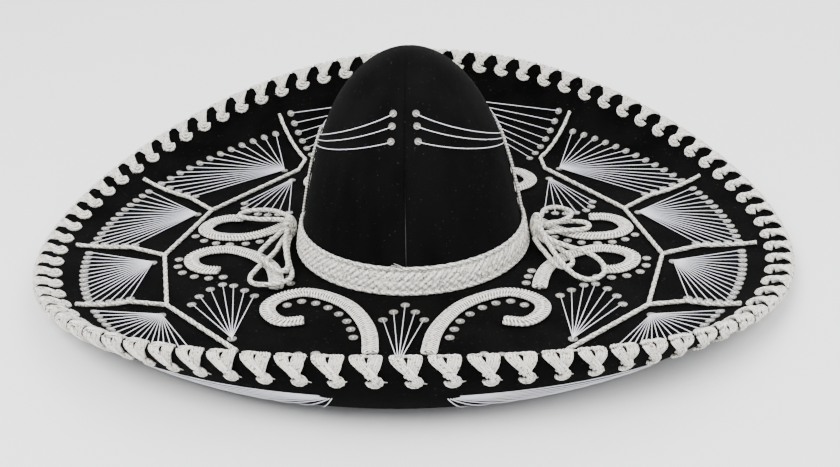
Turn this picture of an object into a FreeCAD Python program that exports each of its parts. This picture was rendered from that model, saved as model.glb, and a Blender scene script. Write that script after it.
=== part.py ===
"""Wide-brimmed sombrero with a curled brim, a tall crown and applied cord trim, in millimetres.

The flat underside of the brim lies in the XY plane, the crown stands on +Z and the front of the
hat faces -Y. Angles on the brim are measured from the back of the hat (+Y) towards its right (+X).
"""
import FreeCAD, Part
import math
import os

Vector = FreeCAD.Vector
UP = Vector(0, 0, 1)

# name, value in millimetres (or degrees, or a plain share), what it is
SIZES = [
    ("brim_half_width", 300.0, "centre to the rim at the side"),
    ("brim_half_depth", 292.0, "centre to the rim at the front or back"),
    ("lip_back", 80.0, "height of the rim at the back"),
    ("lip_front", 57.0, "height of the rim at the front"),
    ("lip_side", 9.0, "height of the rim at the sides"),
    ("lip_run", 75.0, "mean width of the brim that curls up"),
    ("lip_run_bias", 17.5, "how much wider the curl is at the back"),
    ("velvet_thick", 1.0, "velvet cover"),
    ("felt_thick", 2.6, "stiff felt of brim and crown"),
    ("layer_gap", 0.2, "glue line between two layers"),
    ("edge_tape_width", 1.2, "tape that closes the rim"),
    ("rim_wire_size", 2.0, "square spring wire in the edge of the brim"),
    ("crown_half_width", 92.5, "crown at its foot, side to side"),
    ("crown_half_depth", 102.0, "crown at its foot, front to back"),
    ("crown_height", 168.0, "top of the crown"),
    ("lining_thick", 0.6, "satin lining of the crown"),
    ("sweatband_thick", 1.5, "leather sweatband"),
    ("sweatband_top", 38.0, "upper edge of the sweatband"),
    ("band_foot", 7.5, "lower edge of the braided hat band"),
    ("band_top", 26.0, "upper edge of the braided hat band"),
    ("band_thick", 4.5, "braided hat band"),
    ("band_cord_size", 3.6, "cord along each edge of the hat band"),
    ("knot_half_width", 5.5, "knot at each end of the hat band"),
    ("knot_half_depth", 9.0, "knot, front to back"),
    ("knot_half_height", 10.5, "knot, up and down"),
    ("border_cord_size", 3.6, "cord of the border and the dividers"),
    ("bow_cord_size", 4.0, "cord of the side bows"),
    ("crown_galloon_width", 9.0, "galloon up each side of the crown"),
    ("crown_galloon_thick", 2.8, "galloon up each side of the crown"),
    ("scroll_width", 12.0, "braided galloon of the scrolls"),
    ("scroll_height", 4.6, "braided galloon of the scrolls"),
    ("thread_size", 1.0, "one stretched thread"),
    ("thread_lift", 1.7, "centre of a fan's threads over the velvet"),
    ("thread_hug", 0.25, "gap between the underside and the threads along it"),
    ("sequin_size", 7.0, "cup sequin"),
    ("sequin_thick", 0.7, "cup sequin"),
    ("sewn_gap", 0.9, "gap between the crown's velvet and what is sewn to it"),
    ("stitch_size", 3.0, "yarn of a rim stitch"),
    ("stitch_reach", 17.0, "how far a rim stitch reaches over each face"),
    ("stitch_stand_off", 0.6, "gap between a rim stitch and the velvet"),
    ("seam_gap", 0.4, "seam between the two halves of the crown velvet"),
]
CROWN_TAPER = 0.33        # share of its width that the crown loses by its top
CROWN_SECTIONS = 12       # ovals that a layer of the crown is lofted through
CROWN_TIP = 0.996         # share of the crown's height where its last oval lies
RING_POINTS = 48
STITCHES = 80
SIDES = (("left", -1), ("right", 1))

# The border's five corners on one side, from the back to the front: angle, then distance.
BORDER_CORNERS = [(37, 193), (72, 189), (99.5, 203), (124, 215), (149, 220)]
DIVIDER_SWEEP = 5.0       # degrees that a divider leans back by its outer end
DIVIDER_CLIMB = 0.70      # share of the lip that a divider climbs
PANEL_FAN_CLIMB = 0.52    # share of the lip where a panel's outer sequins lie
FAN_START = 9.0           # mm from a fan's apex where its threads come clear of each other

# Scrolls on the right-hand side, as points on the brim.
FRONT_SCROLL = [(20, -193), (23, -165), (31, -141), (43, -121), (60, -107), (77, -101),
                (92, -107), (101, -120), (99, -135), (88, -147), (72, -145)]
SIDE_SCROLL = [(100, -93), (103, -75), (109, -57), (121, -41), (135, -30), (150, -24),
               (166, -27), (176, -38), (173, -52), (163, -61), (150, -63)]
UPPER_SCROLL = [(106, 30), (120, 13), (136, 2), (153, 0), (169, 5), (177, 17), (172, 32),
                (161, 39), (148, 39)]

# Sequins beside the right-hand scrolls, as points on the brim.
FRONT_SCROLL_ROW = [(34, -168), (37, -156), (41, -144), (48, -133), (57, -123), (67, -116),
                    (78, -113), (88, -119)]
OTHER_SCROLL_ROWS = [(117, 1), (127, -6), (138, -10), (151, -11.5), (163, -9), (174, -4), (183, 5),
                     (187, -40), (185, -53), (179, -64), (168, -71), (156, -74), (145, -72),
                     (90.5, -83), (92.5, -72), (95.5, -62)]

# Small fans on the right-hand side: apex, then the arc of sequins that the threads run to.
FRONT_CORNER_FAN = ((120, -170), [(160, -118), (157, -105), (151, -93), (143, -85), (134, -87),
                                  (124, -95), (115, -104)])
REAR_CORNER_FAN = ((119, 130), [(154, 75), (152, 64), (147, 56), (138, 51), (129, 49),
                                (120, 50), (111, 54)])
FRONT_FAN = ((0, -205), [(-15, -142), (-8, -130), (0, -119), (8, -130), (15, -142)])

# Sequins in a row along the inner edge of the front panel, on the right-hand half.
FRONT_PANEL_ROW = [(106, -196), (94, -194), (82, -193), (70, -192), (58, -191)]

# Threads under the front of the brim: degrees from the front, then share of the lip.
UNDERSIDE_APEX = (7, 0.68)
UNDERSIDE_FAN = [(36, 0.70), (37, 0.62), (37, 0.54), (36, 0.46), (34, 0.38), (31, 0.31), (27, 0.25),
                 (22, 0.20), (16, 0.18), (11, 0.20)]

# Loops of limp cord that leave a knot of the hat band and come back to it, laid on the brim and
# on each other: points as x, y and height above the brim.
BOWS = {
    "upper_bow_left": [(-107, 6, 15), (-115, 15, 12), (-128, 21, 9), (-142, 26, 8), (-152, 33, 7),
                       (-149, 42, 7), (-137, 44, 8), (-125, 40, 9.5), (-115, 30, 12),
                       (-107, 18, 14), (-103, 9, 17)],
    "middle_bow_left": [(-106, -10, 13), (-112, -22, 11.5), (-119, -36, 9), (-121, -51, 9.5),
                        (-114, -64, 12), (-106, -73, 10), (-100, -77, 8), (-95, -74, 7.5),
                        (-94, -66, 8), (-97, -54, 9), (-100, -40, 11), (-102.5, -25, 13), (-102, -12, 15)],
    "lower_bow_left": [(-105.5, -10, 7), (-107, -24, 7.5), (-108, -40, 7.5), (-113, -54, 7.5),
                       (-118, -69, 7.5), (-122, -84, 7), (-119, -95, 7), (-108, -99, 7.4),
                       (-97, -96, 7.4), (-90, -87, 6), (-90, -73, 4), (-95, -56, 4),
                       (-99, -39, 5.5), (-101, -24, 6.5), (-100.5, -11, 7.5)],
    "upper_bow_right": [(106, 8, 17), (107, 20, 15), (110, 34, 12), (118, 43, 10), (127, 42, 9),
                        (133, 32, 10), (131, 19, 11.5), (123, 9, 12), (114, 2, 12.5),
                        (108, -4, 13.5)],
    "middle_bow_right": [(107, -7, 8), (116, -3, 7.5), (127, 0, 7.2), (139, 1, 7.2),
                         (147, 8, 7.2), (143, 17, 7.2), (132, 19, 7.2), (121, 17, 7.5),
                         (112, 12, 9), (107, 5, 11)],
    "lower_bow_right": [(105, -10, 13), (107, -25, 12), (111, -42, 11.5), (116, -62, 11.3),
                        (123, -80, 9), (134, -91, 7), (146, -87, 7), (152, -73, 7.5),
                        (148, -57, 8.5), (138, -46, 10), (125, -40, 11.5), (113, -32, 12.5),
                        (105, -21, 14), (102.5, -11, 16)],
    "inner_bow_right": [(102, -11, 7), (108, -22, 7), (118, -34, 7), (126, -47, 7), (128, -60, 7),
                        (124, -67, 6.8), (117, -68, 6.8), (112, -60, 7), (109, -49, 7), (106, -38, 6.5),
                        (102, -26, 6.5), (99.5, -14, 7)],
}


def crown_share(height):
    """Return the crown's share of its foot width, at a share of its height."""
    return (1 - CROWN_TAPER * height) * math.sqrt(1 - height ** 4)


def polar(angle, radius, height):
    """Return the point at an angle from the back, a distance from the axis and a height."""
    return Vector(radius * math.sin(angle), radius * math.cos(angle), height)


# ---------------------------------------------------------------- document and checks
def make_sheet(doc):
    """Write the driving sizes into a spreadsheet and return it."""
    sheet = doc.addObject("Spreadsheet::Sheet", "sizes")
    for row, (name, value, note) in enumerate(SIZES, start=1):
        sheet.set("A%d" % row, name)
        sheet.set("B%d" % row, str(value))
        sheet.set("C%d" % row, note)
        sheet.setAlias("B%d" % row, name)
    doc.recompute()
    return sheet


def add_shape(doc, name, solids):
    """Add a sub-part that is one solid, or a group of separate solids."""
    piece = doc.addObject("Part::Feature", name)
    piece.Label = name
    piece.Shape = solids[0] if len(solids) == 1 else Part.makeCompound(solids)
    piece.Placement = FreeCAD.Placement()
    return piece


def check(doc, pieces):
    """Stop if an object failed, or if a sub-part's shape is empty or broken."""
    for item in doc.Objects:
        if "Invalid" in item.State or "Error" in item.State:
            raise RuntimeError("%s failed: %s" % (item.Name, item.State))
    for piece in pieces:
        if piece.Shape.isNull() or not piece.Shape.Solids:
            raise RuntimeError("%s has no solid" % piece.Label)
        for solid in piece.Shape.Solids:
            if not solid.isValid() or solid.Volume <= 0:
                raise RuntimeError("%s has a broken solid" % piece.Label)


# ---------------------------------------------------------------- shape of the brim
class Brim:
    """The curved surface of the brim, worked out from the driving sizes."""

    def __init__(self, sheet):
        self.width = sheet.brim_half_width
        self.depth = sheet.brim_half_depth
        self.back, self.front, self.side = sheet.lip_back, sheet.lip_front, sheet.lip_side
        self.run, self.bias = sheet.lip_run, sheet.lip_run_bias
        self.thick = 2 * sheet.velvet_thick + sheet.felt_thick + 2 * sheet.layer_gap

    def rim_height(self, angle):
        """Return the height of the rim: high at the back and front, low at the sides."""
        mean = (self.back + self.front + 2 * self.side) / 4
        tilt = (self.back - self.front) / 2
        saddle = (self.back + self.front - 2 * self.side) / 4
        return mean + tilt * math.cos(angle) + saddle * math.cos(2 * angle)

    def reach(self, angle):
        """Return the distance from the axis to the rim."""
        return 1 / math.hypot(math.sin(angle) / self.width, math.cos(angle) / self.depth)

    def curl(self, angle):
        """Return where the curl starts, its radius and the angle that it turns through."""
        run = self.run + self.bias * math.cos(angle)
        height = self.rim_height(angle)
        radius = (run * run + height * height) / (2 * height)
        return self.reach(angle) - run, radius, math.atan2(run, radius - height)

    def lip(self, angle, climb, lift):
        """Return the point a share of the way up the lip, lifted off the underside."""
        start, radius, turn = self.curl(angle)
        swing = climb * turn
        across = start + (radius - lift) * math.sin(swing)
        return polar(angle, across, radius - (radius - lift) * math.cos(swing))

    def lip_normal(self, angle, climb):
        """Return the direction out of the upper face, in the upright plane at this angle."""
        swing = climb * self.curl(angle)[2]
        return polar(angle, -math.sin(swing), math.cos(swing))

    def lip_length(self, angle):
        """Return the length of the curl from its start to the rim."""
        radius, turn = self.curl(angle)[1:]
        return radius * turn

    def rim_stations(self, count):
        """Return angles that divide the rim into equal lengths, starting at the back."""
        steps = 3600
        angles = [2 * math.pi * i / steps for i in range(steps + 1)]
        points = [self.lip(angle, 1.0, 0.0) for angle in angles]
        travelled = [0.0]
        for before, after in zip(points, points[1:]):
            travelled.append(travelled[-1] + before.distanceToPoint(after))
        stations, step = [], 0
        for index in range(count):
            wanted = travelled[-1] * (index + 0.5) / count
            while travelled[step] < wanted:
                step += 1
            stations.append(angles[step])
        return stations


def ring_wire(place):
    """Return a smooth closed wire through the points that place(angle) gives."""
    points = [place(2 * math.pi * i / RING_POINTS) for i in range(RING_POINTS)]
    curve = Part.BSplineCurve()
    curve.interpolate(Points=points, PeriodicFlag=True)
    return Part.Wire([curve.toShape()])


def oval_wire(half_width, half_depth, height):
    """Return an upright oval, longer from front to back."""
    frame = Part.Ellipse(Vector(0, half_depth, height), Vector(half_width, 0, height),
                         Vector(0, 0, height))
    return Part.Wire([frame.toShape()])


def brim_layer(brim, low, high, hole, inset):
    """Return one layer of the brim, between two lifts, from an oval hole out to the rim.

    The layer stops short of the rim by inset, measured along the curl.
    """
    def sections(lift):
        def at(share):
            return ring_wire(lambda angle: brim.lip(
                angle, share * (1 - inset / brim.lip_length(angle)), lift))
        return [at(share) for share in (0.0, 0.2, 0.4, 0.6, 0.8, 1.0)]

    faces, inner, outer = [], [], []
    for lift in (low, high):
        wires = sections(lift)
        curl = Part.makeLoft(wires, False, False)
        rings = sorted((edge for edge in curl.Edges if edge.isClosed()), key=lambda e: e.Length)
        hole_wire = oval_wire(hole[0], hole[1], lift)
        faces += curl.Faces
        faces.append(Part.makeFace([Part.Wire([rings[0]]), hole_wire], "Part::FaceMakerBullseye"))
        inner.append(hole_wire.Edges[0])
        outer.append(rings[-1])
    faces += Part.makeRuledSurface(*inner).Faces + Part.makeRuledSurface(*outer).Faces
    shell = Part.makeShell(faces)
    shell.sewShape()
    return positive(Part.makeSolid(shell))


def edge_strip(brim, low, high, inset, width):
    """Return a square-edged strip that runs round the rim, inset from it, between two lifts."""
    def corner(lift, back):
        return ring_wire(lambda angle: brim.lip(angle, 1 - back / brim.lip_length(angle), lift))
    corners = [corner(low, inset + width), corner(low, inset),
               corner(high, inset), corner(high, inset + width)]
    faces = []
    for first, second in zip(corners, corners[1:] + corners[:1]):
        faces += Part.makeRuledSurface(first.Edges[0], second.Edges[0]).Faces
    shell = Part.makeShell(faces)
    shell.sewShape()
    return positive(Part.makeSolid(shell))


def positive(solid):
    """Return the solid with its faces pointing outwards."""
    if solid.Volume < 0:
        solid.reverse()
    return solid


# ---------------------------------------------------------------- cords and threads
def rounded_path(points):
    """Return a wire of straight runs joined by tangent arcs, each as large as its runs allow."""
    return path_and_radii(points)[0]


def path_and_radii(points):
    """Return a wire of straight runs joined by tangent arcs, and the radii of its arcs."""
    edges, radii, last = [], [], points[0]
    for before, corner, after in zip(points, points[1:], points[2:]):
        back, ahead = (before - corner), (after - corner)
        shorter = min(back.Length, ahead.Length)
        back.normalize()
        ahead.normalize()
        turn = math.pi - back.getAngle(ahead)
        if turn < math.radians(0.5):
            continue
        cut = 0.45 * shorter
        radius = cut / math.tan(turn / 2)
        radii.append(radius)
        enter, leave = corner + back * cut, corner + ahead * cut
        middle = (back + ahead).normalize() * (radius / math.cos(turn / 2) - radius) + corner
        edges.append(Part.LineSegment(last, enter).toShape())
        edges.append(Part.Arc(enter, middle, leave).toShape())
        last = leave
    edges.append(Part.LineSegment(last, points[-1]).toShape())
    return Part.Wire(edges), radii


def tube(wire, thickness):
    """Return a round cord that follows a wire."""
    first = wire.Edges[0]
    start = first.valueAt(first.FirstParameter)
    heading = first.tangentAt(first.FirstParameter)
    ring = Part.Wire([Part.makeCircle(thickness / 2, start, heading)])
    cord = wire.makePipeShell([ring], True, False)
    expected = math.pi * thickness ** 2 / 4 * wire.Length
    if abs(abs(cord.Volume) - expected) > 0.03 * expected:
        raise RuntimeError("a cord's volume is %.1f, not %.1f" % (cord.Volume, expected))
    return positive(cord)


def ribbon(wire, width, thickness, across):
    """Return a flat braid of oval section that follows a wire, as wide as stated along across."""
    first = wire.Edges[0]
    start = first.valueAt(first.FirstParameter)
    heading = first.tangentAt(first.FirstParameter)
    side = (across - heading * across.dot(heading)).normalize()
    oval = Part.Ellipse(start + side * (width / 2), start + heading.cross(side) * (thickness / 2),
                        start)
    braid = wire.makePipeShell([Part.Wire([oval.toShape()])], True, False)
    expected = math.pi * width * thickness / 4 * wire.Length
    if abs(abs(braid.Volume) - expected) > 0.03 * expected:
        raise RuntimeError("a braid's volume is %.1f, not %.1f" % (braid.Volume, expected))
    return positive(braid)


def rod(start, end, thickness):
    """Return a straight thread between two points."""
    return Part.makeCylinder(thickness / 2, start.distanceToPoint(end), start, end - start)


def mirrored(points, side):
    """Return hand-chosen points for one side of the hat."""
    return [(side * point[0],) + tuple(point[1:]) for point in points]


class Trim:
    """Cords, threads, sequins and scrolls sewn to the top of the brim."""

    def __init__(self, brim, sheet):
        self.brim = brim
        self.sheet = sheet
        self.top = brim.thick

    def rest(self, size):
        """Return the lift of the centre of something round that rests on the velvet."""
        return self.top + size / 2

    def corner(self, index, side, lift):
        """Return a corner of the border."""
        angle, radius = BORDER_CORNERS[index]
        return polar(side * math.radians(angle), radius, lift)

    def border(self, side):
        """Return the cord that joins the five corners on one side."""
        lift = self.rest(self.sheet.border_cord_size)
        cords = []
        for index in range(len(BORDER_CORNERS) - 1):
            start, end = self.corner(index, side, lift), self.corner(index + 1, side, lift)
            along = (end - start).normalize() * (self.sheet.border_cord_size * 0.6)
            cords.append(rod(start + along, end - along, self.sheet.border_cord_size))
        return cords

    def divider_angle(self, index, side):
        """Return the angle at which a divider ends on the lip."""
        return side * math.radians(BORDER_CORNERS[index][0] - DIVIDER_SWEEP)

    def dividers(self, side):
        """Return the cords that run out from the corners of the border and up the lip."""
        size = self.sheet.border_cord_size
        lift = self.rest(size)
        cords = []
        for index, (angle, radius) in enumerate(BORDER_CORNERS):
            end_angle = self.divider_angle(index, side)
            start = self.corner(index, side, lift)
            foot = self.brim.lip(end_angle, 0.12, lift)
            start += (foot - start).normalize() * (size * 1.3)
            points = [start, foot]
            points += [self.brim.lip(end_angle, share * DIVIDER_CLIMB, lift)
                       for share in (0.6, 1.0)]
            cords.append(tube(rounded_path(points), size))
        return cords

    def sequin(self, place, normal):
        """Return a sequin that lies on the velvet."""
        return Part.makeCylinder(self.sheet.sequin_size / 2, self.sheet.sequin_thick,
                                 place, normal)

    def lip_sequin(self, angle, climb):
        """Return a sequin on the lip."""
        return self.sequin(self.brim.lip(angle, climb, self.top), self.brim.lip_normal(angle, climb))

    def flat_sequin(self, place):
        """Return a sequin on the flat part of the brim."""
        return self.sequin(Vector(place[0], place[1], self.top), UP)

    def fan(self, apex, ends):
        """Return threads from near an apex to their ends, clear of the velvet and sequins."""
        threads = []
        for end in ends:
            along = (end - apex).normalize()
            threads.append(rod(apex + along * FAN_START, end - along * 1.0,
                               self.sheet.thread_size))
        return threads

    def over_lip(self, angle, climb):
        """Return the point over the lip where a fan's thread ends."""
        return self.brim.lip(angle, climb, self.top + self.sheet.thread_lift)

    def panel_apex(self, index, side):
        """Return the point that the threads of a side panel spread from."""
        angle, radius = BORDER_CORNERS[index]
        return polar(side * math.radians(angle + 3.0), radius + 9.0, self.top + self.sheet.thread_lift)

    def panel_stations(self, index):
        """Return angles and climbs of the sequins along the outer edge of a side panel."""
        start = BORDER_CORNERS[index][0] - DIVIDER_SWEEP + 2.5
        end = BORDER_CORNERS[index + 1][0] - DIVIDER_SWEEP - 1.5
        count = 12
        outer = [(start + (end - start) * i / (count - 1), PANEL_FAN_CLIMB) for i in range(count)]
        return outer + [(end, PANEL_FAN_CLIMB * share) for share in (0.78, 0.56, 0.34, 0.12)]

    def side_panels(self, side):
        """Return the threads and the sequins of the four fans on one side."""
        threads, sequins = [], []
        for index in range(len(BORDER_CORNERS) - 1):
            stations = [(side * math.radians(angle), climb)
                        for angle, climb in self.panel_stations(index)]
            apex = self.panel_apex(index, side)
            ends = [self.over_lip(angle, climb) for angle, climb in stations]
            threads += self.fan(apex, ends)
            sequins += [self.lip_sequin(angle, climb) for angle, climb in stations]
            sequins.append(self.flat_sequin(apex))
        return threads, sequins

    def back_panel(self, side):
        """Return thread ends and sequins down one divider of the back panel."""
        angle = self.divider_angle(0, side) - side * math.radians(2.5)
        stations = [(angle, PANEL_FAN_CLIMB * share)
                    for share in (1.3, 1.1, 0.9, 0.7, 0.5, 0.3, 0.1)]
        ends = [self.over_lip(angle, climb) for angle, climb in stations]
        return ends, [self.lip_sequin(angle, climb) for angle, climb in stations]

    def front_panel(self, side):
        """Return thread ends and sequins in one half of the row in the front panel."""
        lift = self.top + self.sheet.thread_lift
        points = mirrored(FRONT_PANEL_ROW, side)
        return [Vector(x, y, lift) for x, y in points], [self.flat_sequin(point) for point in points]

    def end_panels(self):
        """Return the threads and sequins of the back panel and the front panel."""
        threads, sequins = [], []
        for half_panel, middle in ((self.back_panel, 0.0), (self.front_panel, math.pi)):
            apex = self.over_lip(middle, 0.66)
            sequins.append(self.lip_sequin(middle, 0.66))
            for _, side in SIDES:
                ends, row = half_panel(side)
                threads += self.fan(apex, ends)
                sequins += row
        return threads, sequins

    def small_fan(self, design, side):
        """Return the threads and the sequins of a small fan inside the border."""
        apex, ends = design
        apex = mirrored([apex], side)[0]
        ends = mirrored(ends, side)
        lift = self.top + self.sheet.thread_lift
        threads = self.fan(Vector(apex[0], apex[1], lift),
                           [Vector(end[0], end[1], lift) for end in ends])
        return threads, [self.flat_sequin(point) for point in [apex] + ends]

    def scroll(self, points, side):
        """Return a scroll of galloon that lies on the brim."""
        lift = self.rest(self.sheet.scroll_height)
        path = [Vector(x, y, lift) for x, y in mirrored(points, side)]
        return ribbon(rounded_path(path), self.sheet.scroll_width, self.sheet.scroll_height,
                      UP.cross(path[1] - path[0]))

    def scroll_sequins(self, side):
        """Return the sequins beside the scrolls on one side."""
        rear_row = [(x, -y) for x, y in FRONT_SCROLL_ROW]
        rows = FRONT_SCROLL_ROW + OTHER_SCROLL_ROWS + rear_row
        return [self.flat_sequin(point) for point in mirrored(rows, side)]

    def bow(self, name):
        """Return one loop of bow cord."""
        path = [Vector(x, y, self.top + height) for x, y, height in BOWS[name]]
        wire, radii = path_and_radii(path)
        print("%s: %.0f mm long, radii %s" % (name, wire.Length,
                                              " ".join("%.0f" % radius for radius in radii)))
        return tube(wire, self.sheet.bow_cord_size)

    def stitch(self, angle):
        """Return the yarn that wraps the rim once, down both faces of the lip."""
        size, reach = self.sheet.stitch_size, self.sheet.stitch_reach
        start, radius, turn = self.brim.curl(angle)
        stand_off = size / 2 + self.sheet.stitch_stand_off
        centre = polar(angle, start, radius)
        swing = turn - reach / radius

        def on_face(arc_radius, at):
            return centre + polar(angle, arc_radius * math.sin(at), -arc_radius * math.cos(at))

        inner, outer = radius - self.top - stand_off, radius + stand_off
        edge = on_face(radius - self.top / 2, turn)
        tip = edge + polar(angle, math.cos(turn), math.sin(turn)) * (self.top / 2 + stand_off)
        half = (turn + swing) / 2
        wire = Part.Wire([
            Part.Arc(on_face(inner, swing), on_face(inner, half), on_face(inner, turn)).toShape(),
            Part.Arc(on_face(inner, turn), tip, on_face(outer, turn)).toShape(),
            Part.Arc(on_face(outer, turn), on_face(outer, half), on_face(outer, swing)).toShape(),
        ])
        return tube(wire, size)

    def underside_threads(self, side):
        """Return the fan of threads that hug the underside of the brim's front."""
        lift = -self.sheet.thread_size / 2 - self.sheet.thread_hug
        threads = []
        for end_angle, end_climb in UNDERSIDE_FAN:
            path = []
            for share in (0.22, 0.36, 0.5, 0.75, 1.0):
                angle = UNDERSIDE_APEX[0] + (end_angle - UNDERSIDE_APEX[0]) * share
                climb = UNDERSIDE_APEX[1] + (end_climb - UNDERSIDE_APEX[1]) * share
                path.append(self.brim.lip(math.pi - side * math.radians(angle), climb, lift))
            threads.append(tube(rounded_path(path), self.sheet.thread_size))
        return threads


# ---------------------------------------------------------------- crown
class Crown:
    """Layers of the crown, each a loft through ovals that are bound to the sheet."""

    def __init__(self, doc, sheet):
        self.doc = doc
        self.sheet = sheet
        self.foot = 2 * sheet.velvet_thick + sheet.felt_thick + 3 * sheet.layer_gap

    def oval(self, name, height, width, inset):
        """Add an oval section: height and width are formulas of the sheet."""
        section = self.doc.addObject("Part::Ellipse", name)
        turn = FreeCAD.Rotation(UP, 90)
        section.Placement = FreeCAD.Placement(Vector(0, 0, 0), turn)
        section.setExpression("MajorRadius", "sizes.crown_half_depth * %g - (%s)" % (width, inset))
        section.setExpression("MinorRadius", "sizes.crown_half_width * %g - (%s)" % (width, inset))
        section.setExpression(".Placement.Base.z", height)
        return section

    def loft(self, name, sections):
        """Add a smooth solid through sections."""
        loft = self.doc.addObject("Part::Loft", name)
        loft.Sections = sections
        loft.Solid = True
        loft.Ruled = False
        return loft

    def dome(self, name, inset, sink):
        """Add a solid dome, inset from the outline; sink drops its foot a little."""
        sections = []
        for index in range(CROWN_SECTIONS):
            height = CROWN_TIP * math.sin(math.pi / 2 * index / (CROWN_SECTIONS - 1))
            place = ("%g + (sizes.crown_height - (%s) - %g) * %g"
                     % (self.foot, inset, self.foot, height))
            if index == 0:
                place += " - %g" % sink
            sections.append(self.oval("%s_oval_%d" % (name, index), place,
                                      crown_share(height), inset))
        return self.loft(name, sections)

    def cup(self, name, outside, inside):
        """Add a hollow dome with an open foot."""
        cut = self.doc.addObject("Part::Cut", name)
        cut.Base = self.dome(name + "_outside", outside, 0.0)
        cut.Tool = self.dome(name + "_inside", inside, 1.0)
        cut.Label = name
        return cut

    def width_at(self, height):
        """Return the share of the foot width that the crown has at a height."""
        return crown_share((height - self.foot) / (self.sheet.crown_height - self.foot))

    def belt(self, name, low, high, outside, inside):
        """Add an oval belt that leans with the crown, between two heights of the sheet."""
        halves = []
        for part, inset, extra in (("outside", outside, 0.0), ("inside", inside, 1.0)):
            sections = []
            for place, step in ((low, -extra), (high, extra)):
                width = self.width_at(getattr(self.sheet, place) if place else self.foot)
                formula = "sizes.%s + %g" % (place, step) if place else "%g" % (self.foot + step)
                label = "%s_%s_%d" % (name, part, len(sections))
                sections.append(self.oval(label, formula, width, inset))
            halves.append(self.loft("%s_%s" % (name, part), sections))
        cut = self.doc.addObject("Part::Cut", name)
        cut.Base, cut.Tool = halves
        cut.Label = name
        return cut

    def half(self, name, whole, side):
        """Add one half of a layer, cut at the front and back seams."""
        box = self.doc.addObject("Part::Box", name + "_box")
        for size in ("Length", "Width"):
            box.setExpression(size, "sizes.crown_half_depth * 2")
        box.setExpression("Height", "sizes.crown_height * 2")
        offset = "sizes.seam_gap / 2" if side > 0 else "-sizes.seam_gap / 2 - sizes.crown_half_depth * 2"
        box.setExpression(".Placement.Base.x", offset)
        box.setExpression(".Placement.Base.y", "-sizes.crown_half_depth")
        common = self.doc.addObject("Part::Common", name)
        common.Base, common.Tool = whole, box
        common.Label = name
        return common

    def edge_cord(self, name, place, outside):
        """Add the cord that runs round the crown along one edge of the hat band."""
        height = getattr(self.sheet, place)
        width = self.width_at(height)
        spine = self.oval(name + "_line", "sizes.%s" % place, width, outside)
        ring = self.doc.addObject("Part::Circle", name + "_ring")
        ring.setExpression("Radius", "sizes.band_cord_size / 2")
        ring.Placement = FreeCAD.Placement(Vector(0, 0, 0), FreeCAD.Rotation(Vector(0, 1, 0), 90))
        ring.setExpression(".Placement.Base.y",
                           "sizes.crown_half_depth * %g - (%s)" % (width, outside))
        ring.setExpression(".Placement.Base.z", "sizes.%s" % place)
        sweep = self.doc.addObject("Part::Sweep", name)
        sweep.Sections = [ring]
        sweep.Spine = (spine, ["Edge1"])
        sweep.Solid = True
        sweep.Frenet = True
        sweep.Label = name
        return sweep

    def knot(self, name, side):
        """Add the wrapped knot where the hat band is gathered."""
        knot = self.doc.addObject("Part::Ellipsoid", name)
        knot.setExpression("Radius2", "sizes.knot_half_width")
        knot.setExpression("Radius3", "sizes.knot_half_depth")
        knot.setExpression("Radius1", "sizes.knot_half_height")
        width = self.width_at((self.sheet.band_foot + self.sheet.band_top) / 2)
        reach = ("%d * (sizes.crown_half_width * %g + sizes.band_thick"
                 " + sizes.knot_half_width + 1.6)" % (side, width))
        knot.setExpression(".Placement.Base.x", reach)
        knot.setExpression(".Placement.Base.z", "(sizes.band_foot + sizes.band_top) / 2")
        knot.Label = name
        return knot

    def surface(self, angle, height, lift):
        """Return a point lifted off the crown's velvet."""
        width = self.width_at(height)
        across = self.sheet.crown_half_width * width + lift
        along = self.sheet.crown_half_depth * width + lift
        return Vector(across * math.sin(angle), along * math.cos(angle), height)

    def side_galloon(self, side):
        """Return the galloon from the hat band up one side of the crown."""
        lift = self.sheet.crown_galloon_thick / 2 + self.sheet.sewn_gap
        path = [self.surface(side * math.pi / 2, height, lift)
                for height in (31.0, 50.0, 72.0, 92.0, 104.0)]
        return ribbon(rounded_path(path), self.sheet.crown_galloon_width,
                      self.sheet.crown_galloon_thick, Vector(0, 1, 0))

    def threads(self, side):
        """Return the threads and sequins that run round one side of the crown."""
        threads, sequins = [], []
        rows = ((92.0, 116.0), (96.0, 126.0), (100.0, 134.0))
        for facing in (0.0, math.pi):
            turn = side if facing == 0.0 else -side
            for low, high in rows:
                path = []
                for share in (0.0, 0.25, 0.5, 0.75, 1.0):
                    angle = facing + turn * math.radians(83 - 71 * share)
                    path.append(self.surface(angle, low + (high - low) * share,
                                         self.sheet.thread_lift + 0.2))
                threads.append(tube(rounded_path(path), self.sheet.thread_size))
                end_angle = facing + turn * math.radians(9)
                place = self.surface(end_angle, high, 0.5)
                normal = Vector(math.sin(end_angle), math.cos(end_angle), 0.55)
                sequins.append(Part.makeCylinder(self.sheet.sequin_size / 2,
                                                 self.sheet.sequin_thick, place, normal))
        return threads, sequins


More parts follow.
